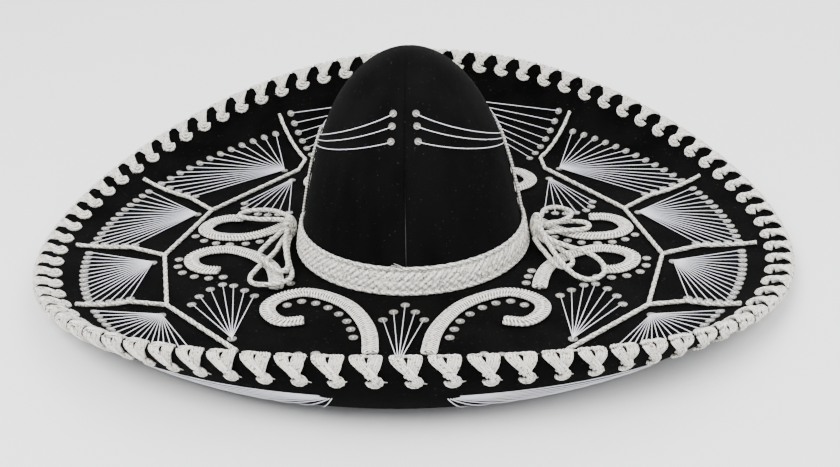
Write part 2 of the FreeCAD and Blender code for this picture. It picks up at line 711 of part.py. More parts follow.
# ---------------------------------------------------------------- the whole hat
def build_brim(doc, sheet, brim):
    """Add the layers of the brim and what is in its edge."""
    velvet, felt, gap = sheet.velvet_thick, sheet.felt_thick, sheet.layer_gap
    felt_low = velvet + gap
    felt_high = felt_low + felt
    inside = velvet + felt + sheet.lining_thick + 3 * gap
    hole = (sheet.crown_half_width - inside, sheet.crown_half_depth - inside)
    collar = (sheet.crown_half_width + gap, sheet.crown_half_depth + gap)
    edge = sheet.edge_tape_width
    wire_room = edge + sheet.rim_wire_size + 3 * gap
    wire_low = (felt_low + felt_high - sheet.rim_wire_size) / 2
    pieces = [
        add_shape(doc, "brim_core", [brim_layer(brim, felt_low, felt_high, hole, wire_room)]),
        add_shape(doc, "brim_top_velvet",
                  [brim_layer(brim, felt_high + gap, brim.thick, collar, edge + gap)]),
        add_shape(doc, "brim_under_velvet", [brim_layer(brim, 0.0, velvet, hole, edge + gap)]),
        add_shape(doc, "rim_edge_tape", [edge_strip(brim, 0.0, brim.thick, 0.0, edge)]),
        add_shape(doc, "rim_wire",
                  [edge_strip(brim, wire_low, wire_low + sheet.rim_wire_size,
                              edge + gap, sheet.rim_wire_size)]),
    ]
    return pieces


def build_crown(doc, crown):
    """Add the layers of the crown, the hat band and the knots."""
    velvet = "sizes.velvet_thick"
    shell = velvet + " + sizes.layer_gap"
    lining = shell + " + sizes.felt_thick + sizes.layer_gap"
    sweat = lining + " + sizes.lining_thick + sizes.layer_gap"
    cover = crown.cup("crown_velvet", "0", velvet)
    pieces = [crown.half("crown_velvet_%s" % name, cover, side) for name, side in SIDES]
    pieces.append(crown.cup("crown_shell", shell, shell + " + sizes.felt_thick"))
    pieces.append(crown.cup("crown_lining", lining, lining + " + sizes.lining_thick"))
    pieces.append(crown.belt("sweatband", None, "sweatband_top", sweat,
                             sweat + " + sizes.sweatband_thick"))
    pieces.append(crown.belt("hatband_braid", "band_foot", "band_top",
                             "-sizes.band_thick - 0.5", "-0.5"))
    centre = "-sizes.band_cord_size / 2 - sizes.sewn_gap"
    low = crown.edge_cord("hatband_lower_cord", "band_foot", centre)
    high = crown.edge_cord("hatband_upper_cord", "band_top", centre)
    pieces += [low, high]
    pieces += [crown.knot("band_knot_%s" % name, side) for name, side in SIDES]
    return pieces


def build_trim(doc, trim, crown):
    """Add every cord, thread, sequin and scroll."""
    pieces = []

    def add(name, solids):
        pieces.append(add_shape(doc, name, solids))

    for name, side in SIDES:
        add("border_cord_%s" % name, trim.border(side))
        add("divider_cords_%s" % name, trim.dividers(side))
        threads, sequins = trim.side_panels(side)
        add("panel_threads_%s" % name, threads)
        add("panel_sequins_%s" % name, sequins)
        add("front_scroll_%s" % name, [trim.scroll(FRONT_SCROLL, side)])
        add("side_scroll_%s" % name, [trim.scroll(SIDE_SCROLL, side)])
        add("upper_scroll_%s" % name, [trim.scroll(UPPER_SCROLL, side)])
        rear = [(x, -y) for x, y in FRONT_SCROLL]
        add("rear_scroll_%s" % name, [trim.scroll(rear, side)])
        front_fan, front_sequins = trim.small_fan(FRONT_CORNER_FAN, side)
        rear_fan, rear_sequins = trim.small_fan(REAR_CORNER_FAN, side)
        add("corner_fan_threads_%s" % name, front_fan + rear_fan)
        add("corner_fan_sequins_%s" % name, front_sequins + rear_sequins)
        add("scroll_sequins_%s" % name, trim.scroll_sequins(side))
        add("crown_galloon_%s" % name, [crown.side_galloon(side)])
        threads, sequins = crown.threads(side)
        add("crown_threads_%s" % name, threads)
        add("crown_sequins_%s" % name, sequins)
        add("underside_threads_%s" % name, trim.underside_threads(side))
    for name in BOWS:
        add(name, [trim.bow(name)])
    threads, sequins = trim.end_panels()
    add("end_panel_threads", threads)
    add("end_panel_sequins", sequins)
    threads, sequins = trim.small_fan(FRONT_FAN, 1)
    add("front_fan_threads", threads)
    add("front_fan_sequins", sequins)
    quarters = {"back_right": [], "front_right": [], "front_left": [], "back_left": []}
    for angle in trim.brim.rim_stations(STITCHES):
        quarter = list(quarters)[int(angle // (math.pi / 2))]
        quarters[quarter].append(trim.stitch(angle))
    for quarter, stitches in quarters.items():
        add("rim_stitches_%s" % quarter, stitches)
    return pieces


def main():
    """Build the hat and write one STEP file per sub-part."""
    os.makedirs("parts", exist_ok=True)
    doc = FreeCAD.newDocument("sombrero")
    sheet = make_sheet(doc)
    brim = Brim(sheet)
    crown = Crown(doc, sheet)
    trim = Trim(brim, sheet)
    pieces = build_brim(doc, sheet, brim)
    pieces += build_crown(doc, crown)
    pieces += build_trim(doc, trim, crown)
    doc.recompute()
    check(doc, pieces)
    for piece in pieces:
        piece.Shape.exportStep("parts/%s.step" % piece.Label)
    print("%d sub-parts written" % len(pieces))


main()
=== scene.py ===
"""Black velvet sombrero with ivory yarn, cord, galloon, thread and sequin trim.

The hat stands on its flat underside at the origin, its crown on +Z and its front facing -Y.
Angles on the brim are measured from the back (+Y) towards the right (+X).
"""
import logging
import math
import random
from dataclasses import dataclass, field
from enum import Enum
from typing import Callable, Iterable, Optional, Sequence, Union

import bmesh
import bpy
from mathutils import Matrix, Vector


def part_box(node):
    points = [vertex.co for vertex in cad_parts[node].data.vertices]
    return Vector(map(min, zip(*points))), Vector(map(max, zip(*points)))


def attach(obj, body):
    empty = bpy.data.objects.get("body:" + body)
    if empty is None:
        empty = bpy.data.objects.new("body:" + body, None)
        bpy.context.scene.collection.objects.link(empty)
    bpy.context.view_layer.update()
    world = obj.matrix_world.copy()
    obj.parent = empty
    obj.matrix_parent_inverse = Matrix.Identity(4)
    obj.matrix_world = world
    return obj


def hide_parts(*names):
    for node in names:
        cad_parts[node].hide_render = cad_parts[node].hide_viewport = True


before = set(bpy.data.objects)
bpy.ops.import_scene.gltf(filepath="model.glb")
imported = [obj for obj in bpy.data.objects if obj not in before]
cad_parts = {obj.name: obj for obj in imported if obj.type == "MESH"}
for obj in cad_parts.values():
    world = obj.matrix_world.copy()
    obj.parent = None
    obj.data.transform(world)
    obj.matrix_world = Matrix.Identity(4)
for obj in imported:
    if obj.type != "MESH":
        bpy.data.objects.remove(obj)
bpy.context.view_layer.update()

MM = 0.001
CHART = "chart"             # UV layer: distance along a piece, then share of the way round
GALLOON_RIB = 2.6 * MM      # from one rib of the galloon to the next
GALLOON_LEAN = 0.9          # ribs that the galloon's edge leads its middle by
TAU = 2 * math.pi
LOG = logging.getLogger("sombrero")
Flat = tuple[float, float]
Colour = tuple[float, float, float]
Number = Union["Signal", float]


class Side(Enum):
    """The two sides of the hat, seen from its front."""

    LEFT = -1
    RIGHT = 1

    @property
    def label(self) -> str:
        """The side's name in lower case."""
        return self.name.lower()


# ------------------------------------------------------------------ shader expressions
class Signal:
    """A number that varies over a surface, written in plain arithmetic."""

    def __init__(self, graph: "Graph", socket: bpy.types.NodeSocket) -> None:
        """Wrap an output socket of a graph."""
        self.graph = graph
        self.socket = socket

    def maths(self, operation: str, *values: Number) -> "Signal":
        """Return the result of one Math node.

        Args:
            operation: the Math node's operation.
            values: its inputs, in order.

        Returns:
            The result as a signal.
        """
        inputs = {place: value for place, value in enumerate(values)}
        node = self.graph.node("ShaderNodeMath", {"operation": operation}, inputs)
        return Signal(self.graph, node.outputs[0])

    def __add__(self, other: Number) -> "Signal":
        """Add."""
        return self.maths("ADD", self, other)

    __radd__ = __add__

    def __sub__(self, other: Number) -> "Signal":
        """Subtract."""
        return self.maths("SUBTRACT", self, other)

    def __rsub__(self, other: Number) -> "Signal":
        """Subtract from a number."""
        return self.maths("SUBTRACT", other, self)

    def __mul__(self, other: Number) -> "Signal":
        """Multiply."""
        return self.maths("MULTIPLY", self, other)

    __rmul__ = __mul__

    def __pow__(self, other: Number) -> "Signal":
        """Raise to a power."""
        return self.maths("POWER", self, other)

    def wave(self) -> "Signal":
        """Return the sine, moved to run from 0 to 1; the signal counts in turns."""
        turns = self * TAU
        return turns.maths("SINE", turns) * 0.5 + 0.5

    def size(self) -> "Signal":
        """Return the number without its sign."""
        return self.maths("ABSOLUTE", self)

    def above(self, level: float, width: float) -> "Signal":
        """Return 0 below a level and 1 above it, with a soft step of a width."""
        step = {"data_type": "FLOAT", "interpolation_type": "SMOOTHSTEP"}
        node = self.graph.node("ShaderNodeMapRange", step,
                               {"Value": self, "From Min": level - width / 2,
                                "From Max": level + width / 2})
        return Signal(self.graph, node.outputs[0])


class Graph:
    """A material's node tree."""

    def __init__(self, name: str) -> None:
        """Start an empty material."""
        self.material = bpy.data.materials.new(name)
        self.material.use_nodes = True
        self.tree = self.material.node_tree
        self.tree.nodes.clear()

    def node(self, kind: str, settings: Optional[dict] = None,
             inputs: Optional[dict] = None) -> bpy.types.Node:
        """Add a node.

        Args:
            kind: the node's type.
            settings: its own settings, set before the sockets; "stops" sets a ramp's colours.
            inputs: values or links for its sockets, by name or place.

        Returns:
            The node.
        """
        made = self.tree.nodes.new(kind)
        for name, value in (settings or {}).items():
            if name == "stops":
                while len(made.color_ramp.elements) < len(value):
                    made.color_ramp.elements.new(1.0)
                for element, (place, colour) in zip(made.color_ramp.elements, value):
                    element.position, element.color = place, (*colour, 1.0)
            else:
                setattr(made, name, value)
        for name, value in (inputs or {}).items():
            socket = made.inputs[name]
            if isinstance(value, Signal):
                value = value.socket
            if isinstance(value, bpy.types.NodeSocket):
                self.tree.links.new(value, socket)
            elif isinstance(value, tuple) and len(value) == 3 and socket.type == "RGBA":
                socket.default_value = (*value, 1.0)
            else:
                socket.default_value = value
        return made

    def position(self, stretch: tuple[float, float, float] = (1.0, 1.0, 1.0)) -> bpy.types.NodeSocket:
        """Return the place on the hat in metres, stretched for streaky patterns."""
        place = self.node("ShaderNodeTexCoord").outputs["Object"]
        return self.node("ShaderNodeMapping", None, {"Vector": place, "Scale": stretch}).outputs[0]

    def along(self) -> tuple[Signal, Signal]:
        """Return the distance along a yarn in metres, and the share of the way round it."""
        chart = self.node("ShaderNodeUVMap", {"uv_map": CHART}).outputs[0]
        split = self.node("ShaderNodeSeparateXYZ", None, {"Vector": chart})
        return Signal(self, split.outputs[0]), Signal(self, split.outputs[1])

    def noise(self, size: float, detail: float = 2.0,
              place: Optional[bpy.types.NodeSocket] = None) -> Signal:
        """Return noise whose blotches are about as wide as size, in metres."""
        node = self.node("ShaderNodeTexNoise", None,
                         {"Vector": place or self.position(), "Scale": 1 / size, "Detail": detail})
        return Signal(self, node.outputs[0])

    def ramp(self, amount: Signal, stops: Sequence[tuple[float, Colour]]) -> bpy.types.NodeSocket:
        """Return a colour chosen along a ramp."""
        return self.node("ShaderNodeValToRGB", {"stops": stops}, {"Fac": amount}).outputs[0]

    def blend(self, amount: Number, first: Union[Colour, bpy.types.NodeSocket],
              second: Union[Colour, bpy.types.NodeSocket]) -> bpy.types.NodeSocket:
        """Return a colour mixed from two."""
        return self.node("ShaderNodeMix", {"data_type": "RGBA"},
                         {0: amount, 6: first, 7: second}).outputs[2]

    def finish(self, relief: Optional[Signal] = None, depth: float = 0.0,
               **inputs: Union[Number, Colour, bpy.types.NodeSocket]) -> bpy.types.Material:
        """Close the material with one Principled shader.

        Args:
            relief: height of the surface's grain, 0 to 1.
            depth: real height of that grain in metres.
            inputs: the shader's sockets, with _ for each space.

        Returns:
            The finished material.
        """
        sockets = {name.replace("_", " "): value for name, value in inputs.items()}
        if relief is not None:
            sockets["Normal"] = self.node("ShaderNodeBump", None,
                                          {"Height": relief, "Distance": depth}).outputs[0]
        shader = self.node("ShaderNodeBsdfPrincipled", None, sockets)
        self.node("ShaderNodeOutputMaterial", None, {"Surface": shader.outputs[0]})
        return self.material


# ------------------------------------------------------------------ finishes
@dataclass(frozen=True)
class Velvet:
    """Cut pile, near black, with a soft sheen and paths where the pile lies over."""

    name: str
    pile: Colour
    brushed: Colour
    sheen: float
    streak: tuple[float, float, float] = (1.0, 1.0, 1.0)

    def build(self) -> bpy.types.Material:
        """Return the velvet's material."""
        graph = Graph(self.name)
        nap = graph.noise(0.00045, 3.0)
        lay = graph.noise(0.03, 3.0, graph.position(self.streak))
        lint = graph.noise(0.0021, 1.0).above(0.735, 0.02)
        tone = graph.blend(lay.above(0.5, 0.5) * 0.75 + nap * 0.25, self.pile, self.brushed)
        colour = graph.blend(lint * 0.35, tone, (0.04, 0.04, 0.038))
        return graph.finish(nap + lay * 0.6, 0.00035, Base_Color=colour,
                            Roughness=0.82 + nap * 0.16, Sheen_Weight=self.sheen,
                            Sheen_Roughness=0.35, Sheen_Tint=(0.5, 0.52, 0.5, 1.0),
                            Specular_IOR_Level=0.02)


@dataclass(frozen=True)
class Yarn:
    """Rayon yarn or cord: lay of its strands, shaded hollows and a few dark flecks."""

    name: str
    light: Colour
    hollow_shade: Colour
    strands: float
    pitch: float
    flecks: float = 0.0
    roughness: float = 0.62
    depth: float = 0.00025

    def build(self) -> bpy.types.Material:
        """Return the yarn's material."""
        graph = Graph(self.name)
        run, turn = graph.along()
        ply = (turn * self.strands + run * (1 / self.pitch)).wave()
        fibre = (turn * (self.strands * 5) + run * (0.6 / self.pitch) + graph.noise(0.004)).wave()
        tone = graph.noise(0.012, 3.0)
        # painted shade: the hollows between the strands and fibres are blended towards the dark second
        # colour
        colour = graph.blend(ply ** 0.6 * 0.75 + fibre * 0.25, self.hollow_shade, self.light)
        colour = graph.blend(tone.above(0.62, 0.25) * 0.5, colour,
                             tuple(part * fade for part, fade in zip(self.light, (0.86, 0.81, 0.7))))
        if self.flecks:
            specks = graph.noise(0.0016, 1.0).above(1 - self.flecks, 0.05)
            colour = graph.blend(specks * 0.85, colour, (0.09, 0.08, 0.06))
        return graph.finish(ply * 0.7 + fibre * 0.3, self.depth, Base_Color=colour,
                            Roughness=self.roughness - fibre * 0.12, Sheen_Weight=0.25,
                            Sheen_Roughness=0.4, Specular_IOR_Level=0.35)


@dataclass(frozen=True)
class Galloon:
    """Flat braid with slanting ribs, painted brownish shade in the troughs between them, two rows of dark
    gaps painted as near-black shade, and brownish ends.
    """

    name: str = "galloon"
    pitch: float = GALLOON_RIB

    def build(self) -> bpy.types.Material:
        """Return the braid's material; its ribs follow those of the mesh."""
        graph = Graph(self.name)
        run, turn = graph.along()
        reach = ((turn + 0.25).wave() * 2 - 1).size()
        rib = (run * (1 / self.pitch) + reach * GALLOON_LEAN + 0.25).wave()
        fibre = (run * (7 / self.pitch) + reach * 5.0 + graph.noise(0.003)).wave()
        # painted shade: near-black in the deepest troughs, in two rows either side of the middle
        trough_shade = (1 - rib).above(0.62, 0.3) * (1 - (reach - 0.5).size() * 2.6).above(0.3, 0.5)
        # painted shade: the troughs between the ribs are blended towards a dark brownish colour
        colour = graph.blend(rib ** 0.7 * 0.8 + fibre * 0.2, (0.3, 0.27, 0.21), (0.93, 0.915, 0.86))
        colour = graph.blend(trough_shade * 0.95, colour, (0.04, 0.034, 0.025))
        specks = graph.noise(0.0022, 1.0).above(0.61, 0.06)
        colour = graph.blend(specks * 0.7, colour, (0.12, 0.1, 0.08))
        return graph.finish(rib * 0.8 + fibre * 0.2, 0.0003, Base_Color=colour,
                            Roughness=0.72 - fibre * 0.1, Sheen_Weight=0.2, Sheen_Roughness=0.4,
                            Specular_IOR_Level=0.3)


@dataclass(frozen=True)
class Sequin:
    """Clear grey cup with a darker lip and a pale bead in the middle."""

    name: str = "sequin_pearl"

    def build(self) -> bpy.types.Material:
        """Return the sequin's material; the chart runs from the middle, 0, to the lip, 1."""
        graph = Graph(self.name)
        out, _ = graph.along()
        colour = graph.ramp(out + graph.noise(0.002) * 0.14 - 0.07,
                            [(0.0, (0.88, 0.88, 0.85)), (0.17, (0.74, 0.73, 0.69)),
                             (0.26, (0.06, 0.055, 0.048)), (0.5, (0.15, 0.142, 0.122)),
                             (0.82, (0.22, 0.21, 0.185)), (0.95, (0.06, 0.054, 0.045))])
        return graph.finish(graph.noise(0.0009, 2.0), 0.00008, Base_Color=colour,
                            Roughness=0.16 + out * 0.12, Coat_Weight=0.8, Coat_Roughness=0.08,
                            Specular_IOR_Level=0.7)


@dataclass(frozen=True)
class Cloth:
    """Plain woven, felted or tanned sheet that is mostly out of sight."""

    name: str
    dark: Colour
    light: Colour
    grain: float
    roughness: float
    depth: float = 0.0002
    metal: float = 0.0

    def build(self) -> bpy.types.Material:
        """Return the sheet's material."""
        graph = Graph(self.name)
        grain = graph.noise(self.grain, 4.0)
        wear = graph.noise(self.grain * 22, 2.0)
        return graph.finish(grain, self.depth, Metallic=self.metal,
                            Base_Color=graph.blend(grain * 0.6 + wear * 0.4, self.dark, self.light),
                            Roughness=self.roughness + wear * 0.15 - 0.07)


@dataclass(frozen=True)
class Finishes:
    """Every finish of the hat, built once."""

    brim_velvet: bpy.types.Material = Velvet("velvet_brim", (0.0008, 0.0009, 0.0008),
                                             (0.0028, 0.003, 0.0027), 0.01).build()
    crown_velvet: bpy.types.Material = Velvet("velvet_crown", (0.0016, 0.0016, 0.0016),
                                              (0.0045, 0.0045, 0.0045), 0.018,
                                              (1.0, 1.0, 0.25)).build()
    # each Yarn's second colour is the painted shade in the hollows between its strands
    stitch: bpy.types.Material = Yarn("yarn_stitch", (0.95, 0.935, 0.88), (0.3, 0.27, 0.21),
                                      3.0, 0.02, 0.37).build()
    galloon: bpy.types.Material = Galloon().build()
    braid: bpy.types.Material = Yarn("braid_band", (0.96, 0.95, 0.9), (0.26, 0.24, 0.18),
                                     4.0, 0.006, 0.4).build()
    cord: bpy.types.Material = Yarn("cord_trim", (0.92, 0.91, 0.85), (0.24, 0.22, 0.17),
                                    3.0, 0.006, 0.41).build()
    thread: bpy.types.Material = Yarn("thread_white", (0.9, 0.9, 0.97), (0.6, 0.6, 0.66),
                                      2.0, 0.0015, 0.0, 0.42, 0.0001).build()
    sequin: bpy.types.Material = Sequin().build()
    felt: bpy.types.Material = Cloth("felt_stiff", (0.012, 0.012, 0.012), (0.04, 0.04, 0.038),
                                     0.0012, 0.95).build()
    satin: bpy.types.Material = Cloth("satin_lining", (0.006, 0.006, 0.008), (0.02, 0.02, 0.025),
                                      0.0006, 0.38, 0.00005).build()
    leather: bpy.types.Material = Cloth("leather_band", (0.03, 0.017, 0.01), (0.085, 0.05, 0.03),
                                        0.0016, 0.5, 0.0003).build()
    steel: bpy.types.Material = Cloth("steel_wire", (0.42, 0.42, 0.43), (0.6, 0.6, 0.61),
                                      0.001, 0.35, 0.00003, 1.0).build()


# ------------------------------------------------------------------ mesh tools
Section = Callable[[float, float, float], Flat]


def sheet(bm: bmesh.types.BMesh, columns: int, rows: int, place: Callable[[float, float], Vector],
          chart: Callable[[float, float], Flat] = lambda u, v: (u, v)) -> None:
    """Add a grid and lay it over a curved surface.

    Args:
        bm: mesh that takes the grid.
        columns: faces along the first direction.
        rows: faces along the second direction.
        place: gives the point for two shares, 0 to 1.
        chart: gives the UV for the same two shares.
    """
    layer = bm.loops.layers.uv.get(CHART) or bm.loops.layers.uv.new(CHART)
    grid = bmesh.ops.create_grid(bm, x_segments=columns, y_segments=rows, size=0.5)["verts"]
    shares = {vert: (vert.co.x + 0.5, vert.co.y + 0.5) for vert in grid}
    for face in {face for vert in grid for face in vert.link_faces}:
        for loop in face.loops:
            loop[layer].uv = chart(*shares[loop.vert])
    for vert, (u, v) in shares.items():
        vert.co = place(u, v)


def smooth_path(points: Sequence[Vector], step: float) -> list[Vector]:
    """Return points at even steps along a smooth line through given points."""
    ends = [points[0] * 2 - points[1], *points, points[-1] * 2 - points[-2]]
    fine: list[Vector] = []
    for before, start, end, after in zip(ends, ends[1:], ends[2:], ends[3:]):
        for index in range(24):
            t = index / 24
            fine.append(0.5 * (2 * start + (end - before) * t
                               + (2 * before - 5 * start + 4 * end - after) * t * t
                               + (3 * start - before - 3 * end + after) * t ** 3))
    fine.append(points[-1].copy())
    return even_path(fine, step)


def even_path(points: Sequence[Vector], step: float) -> list[Vector]:
    """Return points at even steps along a line of points."""
    run = [0.0]
    for before, after in zip(points, points[1:]):
        run.append(run[-1] + (after - before).length)
    count = max(1, round(run[-1] / step))
    path, place = [], 0
    for index in range(count + 1):
        wanted = run[-1] * index / count
        while place < len(run) - 2 and run[place + 1] < wanted:
            place += 1
        share = (wanted - run[place]) / max(run[place + 1] - run[place], 1e-12)
        path.append(points[place].lerp(points[place + 1], share))
    return path


def sweep(bm: bmesh.types.BMesh, path: Sequence[Vector], sides: int, section: Section,
          up: Union[Vector, Callable[[Vector], Vector]] = Vector((0, 0, 1)),
          loop: bool = False) -> None:
    """Sweep a closed section along a path.

    Args:
        bm: mesh that takes the piece.
        path: its centreline.
        sides: points round the section.
        section: gives (across, lift) for a turn of 0 to 1, the distance run and the share run.
        up: direction that lift follows, the same everywhere or worked out from the point.
        loop: whether the path closes on itself.
    """
    count = len(path)
    frames, run = [], [0.0]
    for index, point in enumerate(path):
        before = path[index - 1] if index or loop else point
        after = path[(index + 1) % count] if index < count - 1 or loop else point
        if loop and index == 0:
            before = path[-2]
        if loop and index == count - 1:
            after = path[1]
        heading = (after - before).normalized()
        wanted = up(point) if callable(up) else up
        across = heading.cross(wanted)
        if across.length < 1e-6:
            across = heading.orthogonal()
        across.normalize()
        frames.append((across, across.cross(heading)))
        if index:
            run.append(run[-1] + (point - path[index - 1]).length)

    def place(u: float, v: float) -> Vector:
        """Return a point of the section at one place on the path."""
        index = round(v * (count - 1))
        across, lift = section(u, run[index], index / (count - 1))
        return path[index] + frames[index][0] * across + frames[index][1] * lift

    sheet(bm, sides, count - 1, place, lambda u, v: (run[round(v * (count - 1))], u))


def round_section(radius: float, ply: float = 0.0, pitch: float = 0.006,
                  strands: int = 3, taper: float = 0.0) -> Section:
    """Return the section of a cord.

    Args:
        radius: outer radius.
        ply: share of the radius that the hollows between its strands take.
        pitch: length of one turn of the lay.
        strands: strands in the lay.
        taper: share of the radius lost by the far end.

    Returns:
        The section, for sweep.
    """
    def section(turn: float, run: float, share: float) -> Flat:
        """Return a point of the section, hollowed between the strands."""
        size = radius * (1 - taper * share)
        size *= 1 - ply * (0.5 - 0.5 * math.cos(TAU * strands * (turn - run / pitch / strands)))
        return size * math.cos(TAU * turn), size * math.sin(TAU * turn)
    return section


@dataclass
class Maker:
    """Turns a mesh into a finished piece that stands for its CAD nodes."""

    finishes: Finishes

    def finish(self, name: str, bm: bmesh.types.BMesh, material: bpy.types.Material,
               nodes: Iterable[str], slot: str, thickness: float = 0.0,
               outward: Optional[Callable[[Vector], Vector]] = None) -> bpy.types.Object:
        """Close a mesh, dress it and put it on the hat.

        Args:
            name: the piece's name.
            bm: its mesh, freed here.
            material: its finish.
            nodes: CAD nodes that it stands for.
            slot: name of a material slot; not used.
            thickness: wall of an open sheet, which lies under the sheet.
            outward: gives the direction out of an open sheet at a point.

        Returns:
            The piece.
        """
        bmesh.ops.remove_doubles(bm, verts=bm.verts, dist=2e-6)
        if outward is None:
            rims = [edge for edge in bm.edges if edge.is_boundary]
            bmesh.ops.holes_fill(bm, edges=rims, sides=0)
            bmesh.ops.recalc_face_normals(bm, faces=bm.faces)
        else:
            bm.normal_update()
            bm.faces.ensure_lookup_table()
            sample = bm.faces[len(bm.faces) // 2]
            if sample.normal.dot(outward(sample.calc_center_median())) < 0:
                bmesh.ops.reverse_faces(bm, faces=bm.faces)
        for face in bm.faces:
            face.smooth = True
        mesh = bpy.data.meshes.new(name)
        bm.to_mesh(mesh)
        bm.free()
        mesh.materials.append(material)
        piece = bpy.data.objects.new(name, mesh)
        bpy.context.collection.objects.link(piece)
        if thickness:
            wall = piece.modifiers.new("wall", "SOLIDIFY")
            wall.thickness, wall.offset = thickness, -1.0
        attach(piece, "root")
        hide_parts(*nodes)
        LOG.info("%s: %d faces", name, len(mesh.polygons))
        return piece


# ------------------------------------------------------------------ shapes of brim and crown
def polar(angle: float, radius: float, height: float) -> Vector:
    """Return the point at an angle from the back, a distance from the axis and a height."""
    return Vector((radius * math.sin(angle), radius * math.cos(angle), height))


@dataclass
class BrimForm:
    """The curved surface of the brim, in metres."""

    width: float = field(default_factory=lambda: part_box("rim_edge_tape")[1].x)
    depth: float = field(default_factory=lambda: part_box("rim_edge_tape")[1].y)
    back: float = 80 * MM
    front: float = 57 * MM
    side: float = 9 * MM
    run: float = 75 * MM
    bias: float = 17.5 * MM
    thick: float = 5 * MM

    def rim_height(self, angle: float) -> float:
        """Return the height of the rim: high at the back and front, low at the sides."""
        mean = (self.back + self.front + 2 * self.side) / 4
        tilt = (self.back - self.front) / 2
        saddle = (self.back + self.front - 2 * self.side) / 4
        return mean + tilt * math.cos(angle) + saddle * math.cos(2 * angle)

    def reach(self, angle: float) -> float:
        """Return the distance from the axis to the rim."""
        return 1 / math.hypot(math.sin(angle) / self.width, math.cos(angle) / self.depth)

    def curl(self, angle: float) -> tuple[float, float, float]:
        """Return where the curl starts, its radius and the angle that it turns through."""
        run = self.run + self.bias * math.cos(angle)
        height = self.rim_height(angle)
        radius = (run * run + height * height) / (2 * height)
        return self.reach(angle) - run, radius, math.atan2(run, radius - height)

    def lip(self, angle: float, climb: float, lift: float) -> Vector:
        """Return the point a share of the way up the lip, lifted off the underside."""
        start, radius, turn = self.curl(angle)
        swing = climb * turn
        across = start + (radius - lift) * math.sin(swing)
        return polar(angle, across, radius - (radius - lift) * math.cos(swing))

    def normal(self, angle: float, climb: float) -> Vector:
        """Return the direction out of the upper face."""
        swing = climb * self.curl(angle)[2]
        return polar(angle, -math.sin(swing), math.cos(swing))

    def up_from(self, point: Vector) -> Vector:
        """Return the direction out of the upper face at a point on it."""
        angle = math.atan2(point.x, point.y)
        start, radius, turn = self.curl(angle)
        beyond = math.hypot(point.x, point.y) - start
        if beyond <= 0:
            return Vector((0, 0, 1))
        swing = math.atan2(beyond, radius - point.z)
        return polar(angle, -math.sin(swing), math.cos(swing))

    def rim_stations(self, count: int) -> list[float]:
        """Return angles that divide the rim into equal lengths, starting at the back."""
        steps = 3600
        angles = [TAU * index / steps for index in range(steps + 1)]
        points = [self.lip(angle, 1.0, 0.0) for angle in angles]
        run = [0.0]
        for before, after in zip(points, points[1:]):
            run.append(run[-1] + (after - before).length)
        stations, place = [], 0
        for index in range(count):
            while run[place] < run[-1] * (index + 0.5) / count:
                place += 1
            stations.append(angles[place])
        return stations

    def wrap(self, angle: float, side_step: float, over: float, height: float) -> Vector:
        """Return a point on or round the edge of the rim.

        Args:
            angle: the stitch's own place on the rim.
            side_step: distance along the rim from there, towards the back on the right.
            over: distance over the edge: positive inside the brim, negative outside.
            height: distance off the velvet.
        """
        here = angle - side_step / self.reach(angle)
        radius, turn = self.curl(here)[1:]
        half = self.thick / 2 + height
        bend = half * math.pi / 2
        if abs(over) < bend:
            tilt = over / half
            edge = self.lip(here, 1.0, self.thick / 2)
            out = polar(here, math.cos(turn), math.sin(turn))
            return edge + out * (half * math.cos(tilt)) + self.normal(here, 1.0) * (half * math.sin(tilt))
        climb = 1 - (abs(over) - bend) / (radius * turn)
        return self.lip(here, climb, self.thick + height if over > 0 else -height)


@dataclass
class CrownForm:
    """The tall round crown, in metres."""

    half_width: float = field(default_factory=lambda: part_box("crown_velvet_right")[1].x)
    half_depth: float = field(default_factory=lambda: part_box("crown_velvet_right")[1].y)
    top: float = 168 * MM
    foot: float = 5.2 * MM
    taper: float = 0.33

    def share(self, height: float) -> float:
        """Return the share of the foot's width at a height."""
        rise = min(max((height - self.foot) / (self.top - self.foot), 0.0), 1.0)
        return (1 - self.taper * rise) * math.sqrt(max(1 - rise ** 4, 0.0))

    def surface(self, angle: float, height: float, lift: float) -> Vector:
        """Return a point lifted off the velvet."""
        share = self.share(height)
        return Vector(((self.half_width * share + lift) * math.sin(angle),
                       (self.half_depth * share + lift) * math.cos(angle), height))

    def outward(self, point: Vector) -> Vector:
        """Return the direction out of the crown at a point."""
        return Vector((point.x / self.half_width ** 2, point.y / self.half_depth ** 2,
                       0.0)).normalized() + Vector((0, 0, 0.2 + max(0.0, point.z - 0.12) * 20))


